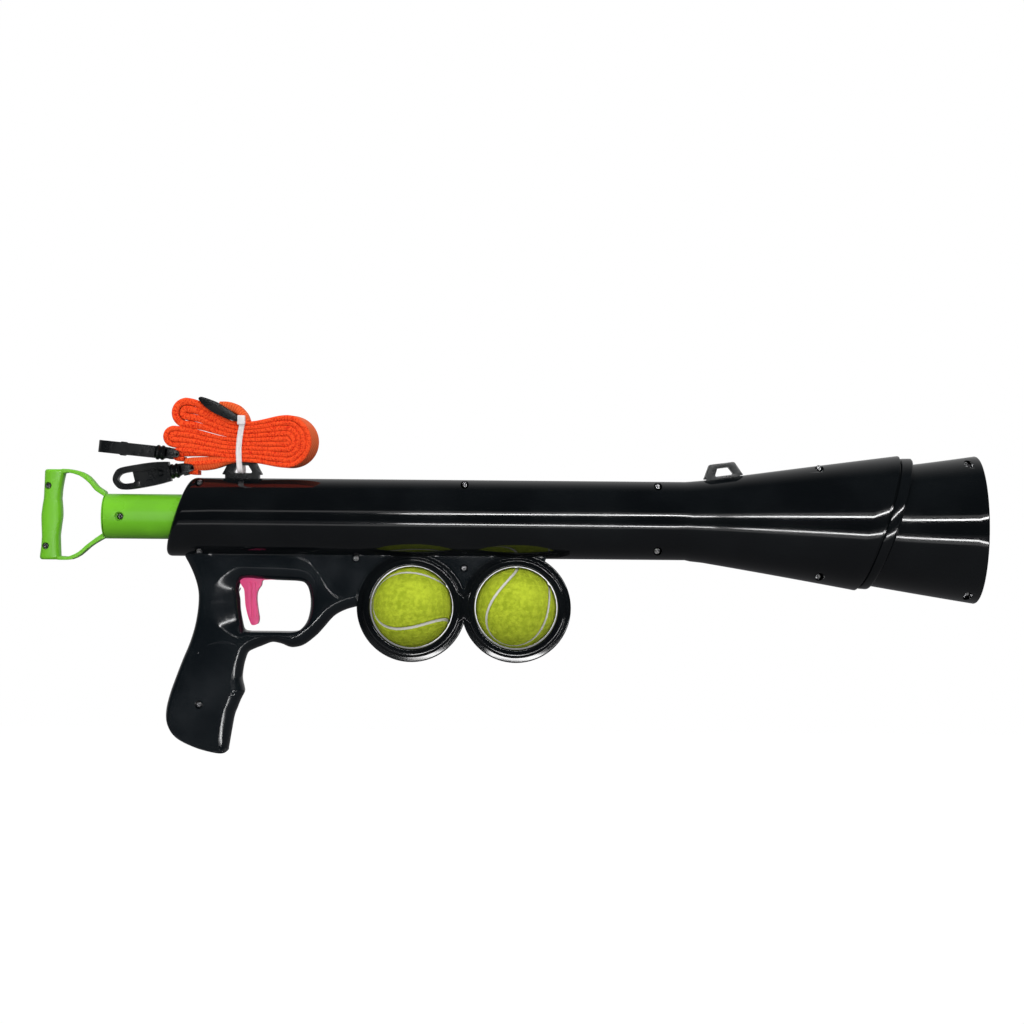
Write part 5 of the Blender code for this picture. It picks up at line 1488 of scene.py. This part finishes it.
studio = {
    "cameraPlace": (0.2298, -1.7, 0.1373), "lens": 78.75, "sensor": 36, "farthest": 30, "roll": math.radians(0.5),
    "middle": (0.25, 0, 0.12), "floorPlace": (0.25, 0, -0.42), "floorSize": 4.0, "floorFade": 0.9, "floorGlow": 1.11,
    "floorColour": (0.10, 0.10, 0.105, 1), "glowFrom": 0.05, "glowTo": 0.8,
    "skyColour": (1, 1, 1, 1), "skyLight": 0.74, "frontGlow": 0.010, "backGlow": 0.38,
    "lamps": [
        ("frontSoft", (0.25, -2.6, 1.6), (2.2, 0.9), 24, False), ("topSoft", (0.25, 0.1, 2.0), (2.4, 1.2), 14, False),
        ("frontFill", (0.25, -3.0, -0.1), (2.4, 1.4), 48, False),
        ("backSoft", (0.25, 2.4, 0.9), (2.6, 1.0), 16, False),
        ("lowStrip", (0.82, -1.25, -0.283), (1.65, 0.056), 8, True),
        ("highStrip", (0.82, -1.25, 0.545), (1.65, 0.056), 11, True),
        ("highHaze", (0.52, -1.25, 0.61), (2.4, 0.11), 0.8, True),
        ("lowHaze", (0.52, -1.25, -0.35), (2.4, 0.11), 0.8, True),
    ],
}


def makeFloor():
    mesh = bmesh.new()
    bmesh.ops.create_grid(mesh, x_segments=2, y_segments=2, size=studio["floorSize"])
    floor = link("floor", mesh, None)
    floor.location = studio["floorPlace"]
    paint = Finish(bpy.data.materials.new("paleFloor"))
    diffuse = paint.node("ShaderNodeBsdfDiffuse", {}, {"Color": studio["floorColour"]})
    glow = paint.node("ShaderNodeEmission", {}, {"Color": (1, 1, 1, 1), "Strength": studio["floorGlow"]})
    rays = paint.node("ShaderNodeLightPath")
    mixed = paint.node("ShaderNodeMixShader", {}, {0: rays * studio["floorFade"], 1: diffuse, 2: glow})
    paint.node("ShaderNodeOutputMaterial", {}, {"Surface": mixed})
    floor.data.materials.append(paint.holder)


def areaLight(name, place, aim, size, power, mirrored):
    lamp = bpy.data.lights.new(name, "AREA")
    lamp.shape = "RECTANGLE"
    lamp.size, lamp.size_y = size
    lamp.energy = power
    made = bpy.data.objects.new(name, lamp)
    # a lamp is seen in reflections or lights the diffuse part, not both
    made.visible_camera = False
    made.visible_glossy = mirrored
    made.visible_diffuse = not mirrored
    made.location = place
    made.rotation_euler = (Vector(aim) - Vector(place)).to_track_quat("-Z", "Y").to_euler()
    bpy.context.collection.objects.link(made)


def makeStudio():
    makeFloor()
    for name, place, size, power, mirrored in studio["lamps"]:
        areaLight(name, place, studio["middle"], size, power, mirrored)
    # straight at the camera it is white, mirrored it is brighter behind than in front
    world = bpy.data.worlds.new("studio")
    bpy.context.scene.world = world
    paint = Finish(world)
    behind = paint.node("ShaderNodeSeparateXYZ", {}, {0: paint.node("ShaderNodeTexCoord")}, 1)
    mirrored = paint.between(behind, studio["glowFrom"], studio["glowTo"], studio["frontGlow"], studio["backGlow"])
    soft, glossy, white = [
        paint.node("ShaderNodeBackground", {}, {"Color": studio["skyColour"], "Strength": strength})
        for strength in (studio["skyLight"], mirrored, 1.0)
    ]
    unseen = paint.node("ShaderNodeMixShader", {}, {0: paint.node("ShaderNodeLightPath", output=3), 1: soft, 2: glossy})
    seen = paint.node("ShaderNodeMixShader", {}, {0: paint.node("ShaderNodeLightPath"), 1: unseen, 2: white})
    paint.node("ShaderNodeOutputWorld", {}, {"Surface": seen})


def makeCamera():
    lens = bpy.data.cameras.new("camera")
    lens.lens = studio["lens"]
    lens.sensor_width = studio["sensor"]
    lens.clip_end = studio["farthest"]
    camera = bpy.data.objects.new("camera", lens)
    camera.location = studio["cameraPlace"]
    camera.rotation_euler = (math.pi / 2, -studio["roll"], 0)
    bpy.context.collection.objects.link(camera)
    bpy.context.scene.camera = camera


makeStudio()
makeCamera()
bpy.context.scene.view_settings.view_transform = "Standard"
print("studio lit")
